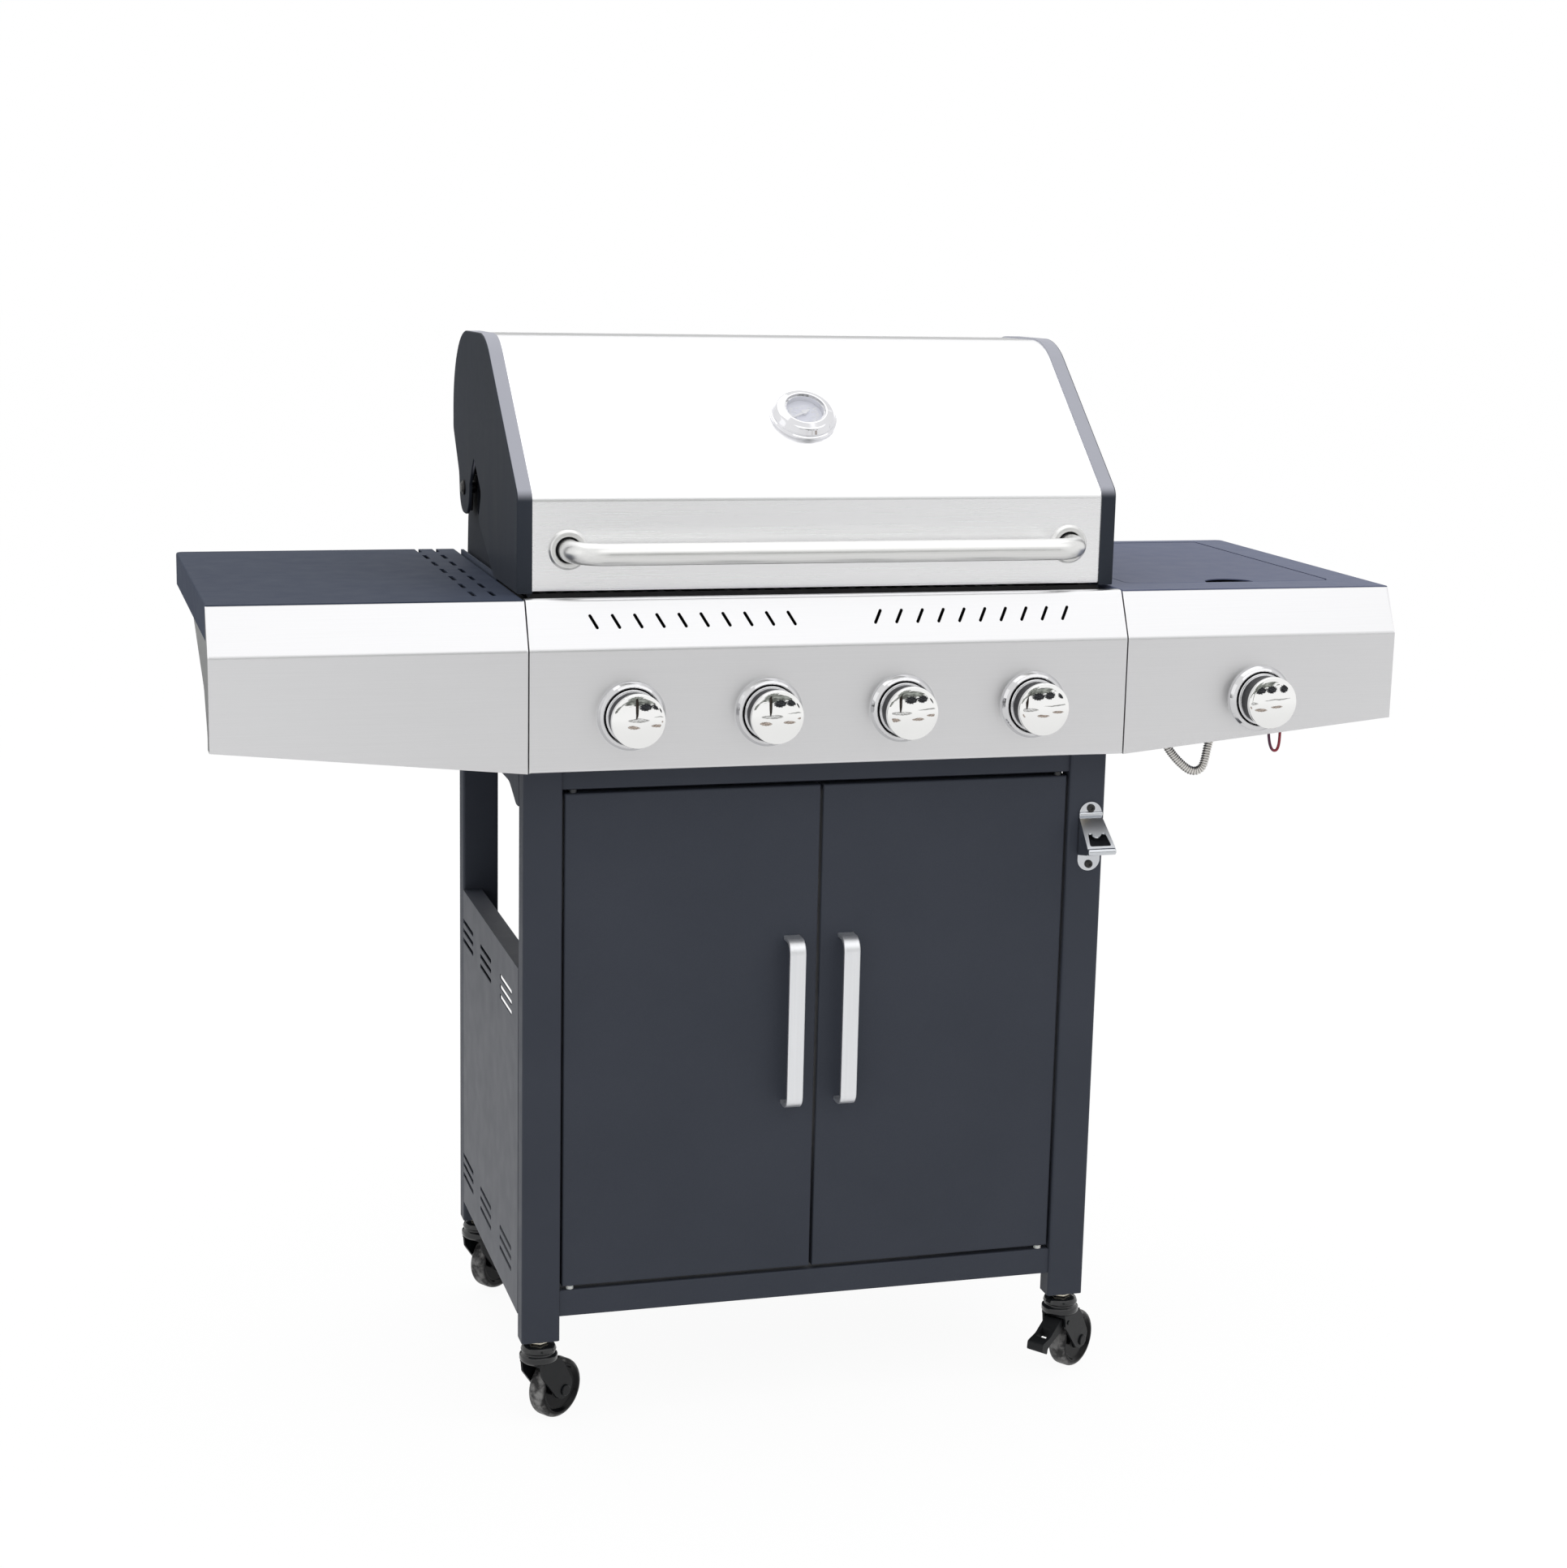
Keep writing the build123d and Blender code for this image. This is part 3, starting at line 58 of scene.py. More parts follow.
camera = bpy.data.objects.new("camera", bpy.data.cameras.new("camera"))
camera.data.lens = LENS_MM
camera.data.sensor_width = SENSOR_MM
stance = Matrix((RIGHT, RIGHT.cross(LOOK), -LOOK)).transposed().to_4x4()
camera.matrix_world = Matrix.Translation(EYE) @ stance
scene.collection.objects.link(camera)
scene.camera = camera


# Studio: a pale floor, an even white surround and wide soft boxes overhead, in front and to the left.
# Props that only mirrors see, such as a tree, cars and a hedge, give polished metal its dark shapes.
class Socket:
    """Output of a shader node. Python's operators on it add Math nodes."""

    def __init__(self, shading, output):
        self.shading = shading
        self.output = output

    def math(self, operation, *values):
        """Result of a Math node on these values."""
        return self.shading.node("ShaderNodeMath", {"operation": operation}, dict(enumerate(values)))

    def __add__(self, other):
        return self.math("ADD", self, other)

    def __radd__(self, other):
        return self.math("ADD", other, self)

    def __sub__(self, other):
        return self.math("SUBTRACT", self, other)

    def __rsub__(self, other):
        return self.math("SUBTRACT", other, self)

    def __mul__(self, other):
        return self.math("MULTIPLY", self, other)

    def __rmul__(self, other):
        return self.math("MULTIPLY", other, self)

    def __pow__(self, other):
        return self.math("POWER", self, other)

    def __abs__(self):
        return self.math("ABSOLUTE", self)

    def __gt__(self, other):
        return self.math("GREATER_THAN", self, other)

    def __lt__(self, other):
        return self.math("LESS_THAN", self, other)

    def between(self, low, high):
        """0 up to the low value, 1 from the high value on, and a smooth step between them."""
        return self.shading.node("ShaderNodeMapRange", {"interpolation_type": "SMOOTHSTEP"},
                                 {"Value": self, "From Min": low, "From Max": high})


class Shading:
    """A node tree that is filled one node at a time."""

    def __init__(self, tree):
        self.tree = tree

    def node(self, kind, settings=None, sockets=None, output=0):
        """Add a node with its settings and inputs, and give back one of its outputs."""
        made = self.tree.nodes.new(kind)
        for name, value in (settings or {}).items():
            setattr(made, name, value)
        for name, value in (sockets or {}).items():
            self.feed(made.inputs[name], value)
        return Socket(self, made.outputs[output])

    def feed(self, socket, value):
        """Link an output to an input, or set the input's constant."""
        if isinstance(value, Socket):
            self.tree.links.new(value.output, socket)
        else:
            socket.default_value = value

    def seen(self):
        """1 for rays from the camera, a mirror or glass, and 0 for the rays that light the object."""
        camera_ray, glossy_ray, glass_ray = (self.node("ShaderNodeLightPath", output=f"Is {ray} Ray")
                                             for ray in ("Camera", "Glossy", "Transmission"))
        kinds = camera_ray + glossy_ray + glass_ray
        return kinds.math("MINIMUM", kinds, 1)


class Finish(Shading):
    """A Principled material. Constants are given once, and shade() links what changes over the surface."""

    def __init__(self, name, **constants):
        self.material = bpy.data.materials.new(name)
        self.material.use_nodes = True
        super().__init__(self.material.node_tree)
        self.shader = self.tree.nodes["Principled BSDF"]
        for socket, value in constants.items():
            self.shade(socket.replace("_", " ").title().replace("Ior", "IOR"), value)

    def shade(self, socket, value):
        """Feed one of the material's inputs."""
        self.feed(self.shader.inputs[socket], value)

    def place(self, scale=(1, 1, 1), centre=(0, 0, 0)):
        """Object coordinates about a centre, stretched by a scale on each axis."""
        spot = self.node("ShaderNodeTexCoord", output="Object")
        shift = [-c * s for c, s in zip(centre, scale)]
        return self.node("ShaderNodeMapping", {}, {"Vector": spot, "Location": shift, "Scale": scale})

    def noise(self, scale, detail=2.0, stretch=(1, 1, 1)):
        """Cloudy pattern from 0 to 1."""
        return self.node("ShaderNodeTexNoise", {}, {"Vector": self.place(stretch), "Scale": scale,
                                                    "Detail": detail})

    def axis(self, letter):
        """One coordinate of the surface."""
        return self.node("ShaderNodeSeparateXYZ", {}, {0: self.place()}, output=letter)

    def length(self, vector):
        """Length of a vector."""
        return self.node("ShaderNodeVectorMath", {"operation": "LENGTH"}, {0: vector}, output="Value")

    def mix(self, share, first, second):
        """Blend of two colours, by the share of the second."""
        colours = [c if isinstance(c, Socket) else (*c, 1.0) for c in (first, second)]
        return self.node("ShaderNodeMix", {"data_type": "RGBA"}, {0: share, 6: colours[0], 7: colours[1]},
                         output=2)

    def mottle(self, scale, detail, dark, light):
        """Let the colour drift between two tones in cloudy patches."""
        self.shade("Base Color", self.mix(self.noise(scale, detail), dark, light))

    def smudge(self, scale, detail, least, spread):
        """Let the roughness rise from its least value in cloudy patches."""
        self.shade("Roughness", least + self.noise(scale, detail) * spread)

    def bump(self, height, depth, strength):
        """Relief of a depth in metres where the height goes from 0 to 1."""
        self.shade("Normal", self.node("ShaderNodeBump", {}, {"Height": height, "Distance": depth,
                                                              "Strength": strength}))


AMBIENT = 0.70
FLOOR_TONE = (0.90, 0.90, 0.90)
FLOOR_GLOW = 0.90
FLOOR_LIGHT = 1.04
MIRRORED_NEAR = 0.92
MIRRORED_FAR = 1.05
FLOOR_FADE = (1.5, 6.0)
FLOOR_HALF = 30.0

world = bpy.data.worlds.new("studio")
scene.world = world
world.use_nodes = True
surround = Shading(world.node_tree)
surround.feed(world.node_tree.nodes["Background"].inputs["Color"], (1, 1, 1, 1))
surround.feed(world.node_tree.nodes["Background"].inputs["Strength"],
              surround.seen() * (1 - AMBIENT) + AMBIENT)

bpy.ops.object.select_all(action="DESELECT")
bpy.ops.mesh.primitive_plane_add(size=2 * FLOOR_HALF)
floor = bpy.context.object
floor.name = "studio_floor"
floor_finish = Finish("floor_paper")
paper = floor_finish.node("ShaderNodeBsdfDiffuse", {}, {"Color": (*FLOOR_TONE, 1)})
away = floor_finish.length(floor_finish.place()).between(*FLOOR_FADE)
mirrored = away * (MIRRORED_FAR - MIRRORED_NEAR) + MIRRORED_NEAR
direct = floor_finish.node("ShaderNodeLightPath", output="Is Camera Ray")
glow = floor_finish.node("ShaderNodeEmission", {}, {"Color": (1, 1, 1, 1),
                                                    "Strength": direct * (FLOOR_LIGHT - mirrored) + mirrored})
shown = floor_finish.node("ShaderNodeMixShader", {}, {0: floor_finish.seen() * FLOOR_GLOW, 1: paper, 2: glow})
floor_finish.feed(floor_finish.tree.nodes["Material Output"].inputs["Surface"], shown)
floor.data.materials.append(floor_finish.material)

SOFT_BOXES = {
    "overhead_box": ((0.1, 0.3, 3.4), (0.0, 0.05, 0.9), (3.4, 2.6), 0.62),
    "front_box": ((1.3, -3.4, 4.2), (0.2, 0.0, 0.7), (6.0, 2.2), 0.46),
    "left_box": ((-4.2, -1.0, 2.2), (0.0, 0.0, 0.7), (1.6, 2.4), 0.25),
}
for name, (stand, aim, size, radiance) in SOFT_BOXES.items():
    lamp = bpy.data.lights.new(name, "AREA")
    lamp.shape = "RECTANGLE"
    lamp.size, lamp.size_y = size
    lamp.energy = radiance * math.pi * size[0] * size[1]
    box = bpy.data.objects.new(name, lamp)
    box.location = stand
    box.rotation_euler = (Vector(aim) - Vector(stand)).to_track_quat("-Z", "Y").to_euler()
    scene.collection.objects.link(box)

BARK = (0.050, 0.042, 0.036)
LEAVES = (0.38, 0.40, 0.37)
HEDGE = (0.035, 0.045, 0.032)
CAR_PAINT = (0.060, 0.062, 0.068)
BRICK = (0.52, 0.44, 0.39)
KERB = (0.52, 0.52, 0.51)
PROP_CLUMPS = (0.42, 0.60)
PROP_TONES = (0.5, 1.5)
PROP_EDGE = (0.38, 0.48)
UPRIGHT = (math.pi / 2, 0, 0)
LEVEL = (0, 0, 0)
PROPS = {
    "tree_trunk": (BARK, UPRIGHT, (0.75, -5.0, 0.80), (0.24, 2.0), 0.1),
    "tree_crown": (LEAVES, UPRIGHT, (0.70, -5.2, 2.0), (1.8, 1.2), 0.9),
    "tree_kerb": (KERB, LEVEL, (0.80, -4.7, 0.004), (1.5, 1.5), 0.1),
    "tree_bed": (FLOOR_TONE, LEVEL, (0.80, -4.7, 0.006), (1.1, 1.0), 0.1),
    "left_bricks": (BRICK, LEVEL, (0.25, -3.1, 0.004), (0.55, 0.7), 0.3),
    "middle_bricks": (BRICK, LEVEL, (1.25, -3.0, 0.004), (0.6, 0.6), 0.3),
    "right_bricks": (BRICK, LEVEL, (2.2, -3.3, 0.004), (0.7, 0.7), 0.3),
    "road_kerb": (KERB, LEVEL, (3.6, -5.5, 0.004), (3.0, 0.8), 0.6),
    "near_car": (CAR_PAINT, UPRIGHT, (2.7, -9.0, 0.80), (2.0, 1.0), 0.5),
    "middle_car": (CAR_PAINT, UPRIGHT, (4.6, -9.5, 0.85), (2.0, 1.1), 0.5),
    "far_car": (CAR_PAINT, UPRIGHT, (6.6, -9.0, 0.85), (2.0, 1.2), 0.5),
    "right_bushes": (LEAVES, UPRIGHT, (3.0, -12.0, 2.0), (9.0, 2.2), 0.9),
    "left_bushes": (LEAVES, UPRIGHT, (-2.2, -11.0, 1.4), (4.0, 1.6), 0.9),
    "rear_hedge": (HEDGE, UPRIGHT, (1.5, 9.0, 1.5), (22.0, 3.4), 0.2),
    "rear_bed": (HEDGE, LEVEL, (-1.4, 5.3, 0.004), (4.4, 7.2), 0.2),
}
for name, (tone, turn, place, (width, height), ragged) in PROPS.items():
    bpy.ops.mesh.primitive_plane_add(size=1, location=place, rotation=turn)
    prop = bpy.context.object
    prop.name = f"studio_{name}"
    prop.scale = (width, height, 1)
    prop_finish = Finish(f"{name}_tone", Roughness=0.9, Specular_IOR_Level=0.0)
    clumps = prop_finish.noise(7, 4)
    dark, light = ([c * share for c in tone] for share in PROP_TONES)
    prop_finish.shade("Base Color", prop_finish.mix(clumps.between(*PROP_CLUMPS), dark, light))
    reach = prop_finish.length(prop_finish.place())
    outside = (reach + (clumps - 0.5) * ragged).between(*PROP_EDGE)
    clear = prop_finish.node("ShaderNodeBsdfTransparent")
    solid = Socket(prop_finish, prop_finish.shader.outputs[0])
    cut = prop_finish.node("ShaderNodeMixShader", {}, {0: outside, 1: solid, 2: clear})
    prop_finish.feed(prop_finish.tree.nodes["Material Output"].inputs["Surface"], cut)
    prop.data.materials.append(prop_finish.material)
    prop.visible_camera = False
    prop.visible_diffuse = False
    prop.visible_transmission = False
    prop.visible_shadow = False


# Flexible gas pipe: corrugated stainless tube that hangs in a loop from the manifold's end to the
# side burner's valve, with a plain cuff and a brass union nut at each end.
PIPE_ROUTE = [(0.320, -0.178, 0.736), (0.338, -0.178, 0.736), (0.355, -0.178, 0.729),
              (0.367, -0.178, 0.714), (0.376, -0.178, 0.699), (0.3855, -0.178, 0.6875),
              (0.395, -0.178, 0.679), (0.402, -0.178, 0.6743), (0.4098, -0.178, 0.6726),
              (0.417, -0.178, 0.6768), (0.4196, -0.178, 0.6865), (0.4215, -0.178, 0.698),
              (0.425, -0.178, 0.7135), (0.425, -0.178, 0.7307)]
PIPE_RADIUS = 0.0047
PIPE_CUFF = 0.009
RIB_PITCH = 0.0027
RIB_DEPTH = 0.0009
RIB_STEPS = 8
PIPE_SIDES = 32
SHARP = math.radians(32)
NUT_ROUNDING = 0.06
NUT_STANDOFF = 0.55
NUT_LENGTH = 0.010
NUT_CORNERS = 0.0158
PIPE_ENDS = {"manifold": (PIPE_ROUTE[0], (1, 0, 0)), "valve": (PIPE_ROUTE[-1], (0, 0, -1))}


def cord_curve(name, route):
    """Smooth open curve with the route's points as its control points."""
    curve = bpy.data.curves.new(name, "CURVE")
    curve.dimensions = "3D"
    spline = curve.splines.new("NURBS")
    spline.points.add(len(route) - 1)
    for point, spot in zip(spline.points, route):
        point.co = (*spot, 1.0)
    spline.order_u = 3
    spline.use_endpoint_u = True
    spline.resolution_u = 24
    piece = bpy.data.objects.new(name, curve)
    scene.collection.objects.link(piece)
    return piece


def cord_points(name, route):
    """Points along the route's smooth curve."""
    line = cord_curve(name, route)
    mesh = bpy.data.meshes.new_from_object(line)
    points = [vertex.co.copy() for vertex in mesh.vertices]
    bpy.data.objects.remove(line)
    return points


def shaped(name):
    """Leave edit mode, apply the piece's place to its mesh, and shade it smooth between its sharp edges."""
    if bpy.context.object.mode == "EDIT":
        bpy.ops.object.mode_set(mode="OBJECT")
    piece = bpy.context.object
    piece.name = piece.data.name = name
    bpy.ops.object.transform_apply(location=True, rotation=True, scale=True)
    bpy.ops.object.shade_smooth_by_angle(angle=SHARP)
    return piece


def bevelled(piece, width, segments=3, limit=SHARP):
    """Round a piece's sharp edges."""
    edge = piece.modifiers.new("edge", "BEVEL")
    edge.width = width
    edge.segments = segments
    edge.limit_method = "ANGLE"
    edge.angle_limit = limit
    bpy.context.view_layer.objects.active = piece
    bpy.ops.object.modifier_apply(modifier=edge.name)
    bpy.ops.object.shade_smooth_by_angle(angle=SHARP)
    return piece


def rib_radius(step):
    """Radius of the corrugated tube at a step along a rib."""
    return PIPE_RADIUS - RIB_DEPTH * (0.5 + 0.5 * math.cos(2 * math.pi * step / RIB_STEPS))


def cuff(piece, level, far):
    """Draw the tube's open end at a level out to a plain cuff, and close it."""
    near = RIB_PITCH / RIB_STEPS / 2
    bpy.ops.object.mode_set(mode="EDIT")
    bpy.ops.mesh.select_mode(type="VERT")
    bpy.ops.mesh.select_all(action="DESELECT")
    bpy.ops.object.mode_set(mode="OBJECT")
    for vertex in piece.data.vertices:
        vertex.select = abs(vertex.co.z - level) < near
    bpy.ops.object.mode_set(mode="EDIT")
    bpy.ops.mesh.extrude_region_move(TRANSFORM_OT_translate={"value": (0, 0, far - level)})
    bpy.ops.mesh.edge_face_add()
    bpy.ops.object.mode_set(mode="OBJECT")


pipe_points = cord_points("pipe_line", PIPE_ROUTE)
pipe_length = sum((b - a).length for a, b in zip(pipe_points, pipe_points[1:]))
rib_count = round((pipe_length - 2 * PIPE_CUFF) / RIB_PITCH)
rib_pitch = (pipe_length - 2 * PIPE_CUFF) / rib_count
rib_step = rib_pitch / RIB_STEPS
bpy.ops.object.select_all(action="DESELECT")
bpy.ops.mesh.primitive_circle_add(vertices=PIPE_SIDES, radius=rib_radius(0), location=(0, 0, PIPE_CUFF),
                                  enter_editmode=True)
for step in range(RIB_STEPS):
    bpy.ops.mesh.extrude_region_move(TRANSFORM_OT_translate={"value": (0, 0, rib_step)})
    growth = rib_radius(step + 1) / rib_radius(step)
    bpy.ops.transform.resize(value=(growth, growth, 1))
pipe = shaped("flexible_pipe")
ribs = pipe.modifiers.new("ribs", "ARRAY")
ribs.count = rib_count
ribs.use_relative_offset = False
ribs.use_constant_offset = True
ribs.constant_offset_displace = (0, 0, rib_pitch)
ribs.use_merge_vertices = True
ribs.merge_threshold = rib_step / 8
bpy.ops.object.modifier_apply(modifier=ribs.name)
cuff(pipe, PIPE_CUFF, 0)
cuff(pipe, pipe_length - PIPE_CUFF, pipe_length)
bpy.ops.object.mode_set(mode="EDIT")
bpy.ops.mesh.select_all(action="SELECT")
bpy.ops.mesh.normals_make_consistent(inside=False)
bpy.ops.object.mode_set(mode="OBJECT")
bpy.ops.object.shade_smooth(keep_sharp_edges=False)
# Height of each point between groove and crest, kept to paint shade into the grooves.
groove_shade_mask_values = [1 - (PIPE_RADIUS - vertex.co.xy.length) / RIB_DEPTH for vertex in pipe.data.vertices]
pipe.data.attributes.new("groove_shade_mask", "FLOAT", "POINT").data.foreach_set("value", groove_shade_mask_values)
pipe_line = cord_curve("pipe_line", PIPE_ROUTE)
bend = pipe.modifiers.new("bend", "CURVE")
bend.object = pipe_line
bend.deform_axis = "POS_Z"
bpy.ops.object.modifier_apply(modifier=bend.name)
bpy.data.objects.remove(pipe_line)

pipe_finish = Finish("corrugated_steel", Metallic=1.0)
groove_shade_mask = pipe_finish.node("ShaderNodeAttribute", {"attribute_name": "groove_shade_mask"}, output="Fac")
soot = pipe_finish.noise(220, 3)
# Painted shade: the grooves get a darker base colour than the crests.
pipe_finish.shade("Base Color", pipe_finish.mix(groove_shade_mask, (0.36, 0.35, 0.33), (0.84, 0.82, 0.79)))
pipe_finish.shade("Roughness", 0.22 + soot * 0.22)
pipe.data.materials.append(pipe_finish.material)


def hex_nut(name, across_corners, height):
    """Six-sided nut with rounded corners, which lies flat about the origin."""
    bpy.ops.object.select_all(action="DESELECT")
    bpy.ops.mesh.primitive_cylinder_add(vertices=6, radius=across_corners / 2, depth=height)
    return bevelled(shaped(name), across_corners * NUT_ROUNDING)


def copied(pattern, name, place, facing):
    """Copy of a piece with its own mesh, its Z axis turned to a direction and its origin put at a place."""
    piece = pattern.copy()
    piece.data = pattern.data.copy()
    piece.name = piece.data.name = name
    turn = Vector(facing).to_track_quat("Z", "Y").to_matrix().to_4x4()
    piece.data.transform(Matrix.Translation(place) @ turn)
    scene.collection.objects.link(piece)
    return piece


brass = Finish("machined_brass", Metallic=1.0)
tarnish = brass.noise(60, 3)
brass.shade("Base Color", brass.mix(tarnish, (0.62, 0.46, 0.20), (0.78, 0.62, 0.33)))
brass.shade("Roughness", 0.24 + tarnish * 0.2)

pipe_nut = hex_nut("pipe_nut", NUT_CORNERS, NUT_LENGTH)
pipe_nut.data.materials.append(brass.material)
for end, (spot, along) in PIPE_ENDS.items():
    seat = Vector(spot) + Vector(along) * NUT_LENGTH * NUT_STANDOFF
    nut = copied(pipe_nut, f"pipe_nut_{end}", seat, along)
    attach(nut, "cart")
bpy.data.objects.remove(pipe_nut)
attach(pipe, "cart")
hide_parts("flex_gas_pipe")


# Igniter wire: a thin silicone-sleeved lead from the igniter behind the side knob, which droops in
# a narrow loop below the fascia and runs back to the burner's electrode.
WIRE_ROUTE = [(0.4905, -0.178, 0.7477), (0.4905, -0.178, 0.733), (0.491, -0.178, 0.719),
              (0.4923, -0.178, 0.706), (0.4943, -0.178, 0.6975), (0.4976, -0.178, 0.6922),
              (0.5022, -0.178, 0.6922), (0.5044, -0.178, 0.6978), (0.505, -0.178, 0.708),
              (0.5055, -0.176, 0.723), (0.506, -0.166, 0.741), (0.506, -0.140, 0.756), (0.504, -0.098, 0.764),
              (0.502, -0.053, 0.769), (0.5015, -0.016, 0.775), (0.501, 0.008, 0.785), (0.501, 0.020, 0.796),
              (0.501, 0.020, 0.806)]
WIRE_RADIUS = 0.0015
WIRE_PAINTED_SHADE_FADE = (0.4925, 0.5015)

wire = cord_curve("igniter_lead", WIRE_ROUTE)
wire.data.bevel_depth = WIRE_RADIUS
wire.data.bevel_resolution = 5
wire.data.use_fill_caps = True
wire_finish = Finish("silicone_sleeve", Roughness=0.42)
# Painted shade: the loop's left leg fades from the red sleeve to a purple-black.
painted_shade_fade = wire_finish.axis("X").between(*WIRE_PAINTED_SHADE_FADE)
wire_finish.shade("Base Color", wire_finish.mix(painted_shade_fade, (0.085, 0.012, 0.05), (0.33, 0.018, 0.04)))
wire.data.materials.append(wire_finish.material)
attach(wire, "cart")
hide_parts("igniter_wire")


# Cart: steel tubes, folded side panels, rails, base shelf and door pans, all in a dark blue-grey
# powder coat with a fine orange-peel grain.
CART_TONES = ((0.033, 0.039, 0.053), (0.056, 0.063, 0.083))

cad = frame["nodes"]


def wear(finish, *names):
    """Give CAD nodes a finish."""
    for name in names:
        cad[name].data.materials.clear()
        cad[name].data.materials.append(finish.material)


def powder_coat(name, dark, light, gloss=0.52, grain=1500, depth=0.00010, sheen=0.22):
    """Baked powder coat: two close tones in broad clouds, and a fine pebbled grain."""
    coat = Finish(name, Specular_IOR_Level=sheen)
    clouds = coat.noise(7, 4)
    pebbles = coat.noise(grain, 1)
    dust = coat.noise(38, 5)
    coat.shade("Base Color", coat.mix(clouds * 0.55 + pebbles * 0.45, dark, light))
    coat.shade("Roughness", gloss - 0.08 + dust * 0.16)
    coat.bump(pebbles, depth, 0.55)
    return coat


cart_coat = powder_coat("cart_powder_coat", *CART_TONES)
wear(cart_coat, "legs", "top_rails", "base_shelf", "right_door", "left_door")
side_coat = powder_coat("side_panel_coat", *CART_TONES, sheen=0.60)
wear(side_coat, "right_side_panel", "left_side_panel")


# Casters: pressed fork with a double swivel head in gloss black, a moulded wheel whose tread has
# picked up pale dust, a brake lever on the right-hand pair and a zinc nut under each leg.
CORNERS = ("front_left", "front_right", "rear_left", "rear_right")
TREAD = (0.0262, 0.0303)
STEM_NUT_CORNERS = 0.0235
STEM_NUT_HEIGHT = 0.0034
NUT_GAP = 0.0004
HEAD_FOOT = 0.072
FORK_COAT = 0.15
HEAD_COAT = 0.90

joints = {joint["name"]: joint for joint in frame["joints"]}
fork_paint = Finish("fork_gloss_black", Specular_IOR_Level=0.14)
swivel_head = fork_paint.axis("Z") > HEAD_FOOT
fork_paint.shade("Coat Weight", FORK_COAT + swivel_head * (HEAD_COAT - FORK_COAT))
fork_paint.mottle(45, 4, (0.003, 0.004, 0.005), (0.011, 0.012, 0.014))
fork_paint.smudge(160, 3, 0.26, 0.2)

pedal_plastic = Finish("pedal_moulding", Specular_IOR_Level=0.25)
pedal_grain = pedal_plastic.noise(1300, 1)
pedal_plastic.mottle(70, 3, (0.005, 0.006, 0.007), (0.018, 0.019, 0.021))
pedal_plastic.shade("Roughness", 0.46 + pedal_grain * 0.12)
pedal_plastic.bump(pedal_grain, 0.00008, 0.4)

zinc = Finish("zinc_plate", Metallic=1.0)
zinc.mottle(150, 3, (0.55, 0.50, 0.38), (0.80, 0.76, 0.66))
zinc.smudge(300, 2, 0.2, 0.2)


def wheel_moulding(name, axle, spin):
    """Gloss black moulding with a dusty, scuffed tread, measured from the wheel's own axle."""
    moulding = Finish(name, Specular_IOR_Level=0.14)
    out = moulding.place(centre=axle)
    along = moulding.node("ShaderNodeVectorMath", {"operation": "DOT_PRODUCT"}, {0: out, 1: spin},
                          output="Value")
    reach = moulding.length(out)
    radius = (reach ** 2 - along ** 2) ** 0.5
    tread = radius.between(*TREAD)
    scuffs = moulding.noise(95, 6).between(0.40, 0.66)
    grit = moulding.noise(700, 3)
    dust = tread * (0.12 + scuffs * 0.88) * (0.55 + grit * 0.45)
    moulding.shade("Base Color", moulding.mix(dust * 0.80, (0.004, 0.004, 0.005), (0.46, 0.455, 0.45)))
    moulding.shade("Roughness", 0.2 + dust * 0.5)
    moulding.bump(grit * tread, 0.00025, 0.5)
    return moulding


stem_nut = hex_nut("stem_nut", STEM_NUT_CORNERS, STEM_NUT_HEIGHT)
stem_nut.data.materials.append(zinc.material)
nut_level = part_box("legs")[0].z - NUT_GAP - STEM_NUT_HEIGHT / 2
for corner in CORNERS:
    roll = joints[f"caster_{corner}_roll"]
    wear(wheel_moulding(f"wheel_{corner}", roll["pos_m"], roll["axis"]), f"caster_wheel_{corner}")
    wear(fork_paint, f"caster_fork_{corner}")
    stem = Vector(joints[f"caster_{corner}_swivel"]["pos_m"])
    nut = copied(stem_nut, f"stem_nut_{corner}", (stem.x, stem.y, nut_level), (0, 0, 1))
    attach(nut, f"caster_fork_{corner}")
    if corner.endswith("right"):
        wear(pedal_plastic, f"brake_pedal_{corner}")
bpy.data.objects.remove(stem_nut)


# Door furniture: bow handles bent from satin anodised strip, and hinge pins in nylon collars, pale
# at the doors' foot and dark at their head.
HINGE_SPLIT = 0.4

satin_strip = Finish("satin_anodised_strip", Metallic=0.92)
strip_grain = satin_strip.noise(420, 3, (1, 1, 0.02))
satin_strip.shade("Base Color", satin_strip.mix(strip_grain, (0.80, 0.81, 0.83), (0.90, 0.91, 0.93)))
satin_strip.shade("Roughness", 0.36 + strip_grain * 0.12)
wear(satin_strip, "right_door_handle", "left_door_handle")

nylon = Finish("natural_nylon", Roughness=0.45, Subsurface_Weight=0.1)
pale_nylon = nylon.mix(nylon.noise(300, 2), (0.74, 0.73, 0.69), (0.86, 0.85, 0.82))
nylon.shade("Base Color", nylon.mix(nylon.axis("Z") > HINGE_SPLIT, pale_nylon, (0.022, 0.024, 0.028)))
wear(nylon, "door_hinge_pins")


# Bottle opener: a strip with a hood and a rolled lip, pressed from polished stainless and held to
# the leg by two dark round-head screws with crossed slots.
SCREW_HEAD_RADIUS = 0.0044
SCREW_HEIGHT = 0.0028
SCREW_SIDES = 32
DOME_RINGS = 5
DOME_TAPER = 0.62
DOME_POWER = 1.6
DOME_TOP = 0.98
SLOT_HALF = 0.145
SLOT_REACH = 0.34
SLOT_DEPTH = 0.45
SCREW_Z = {"upper": 0.6364, "lower": 0.5762}
STRIP_THICK = 0.0016
STRIP_CUT = (0.5880, 0.6262)
FOLD_Z = 0.6299
FOLD_HALF = (0.0131, 0.0022, 0.0027)
FOLD_ROUNDING = 0.0012
STRIP_SLACK = 0.0002
STRIP_PAINTED_SHADE = (0.020, 0.021, 0.025)

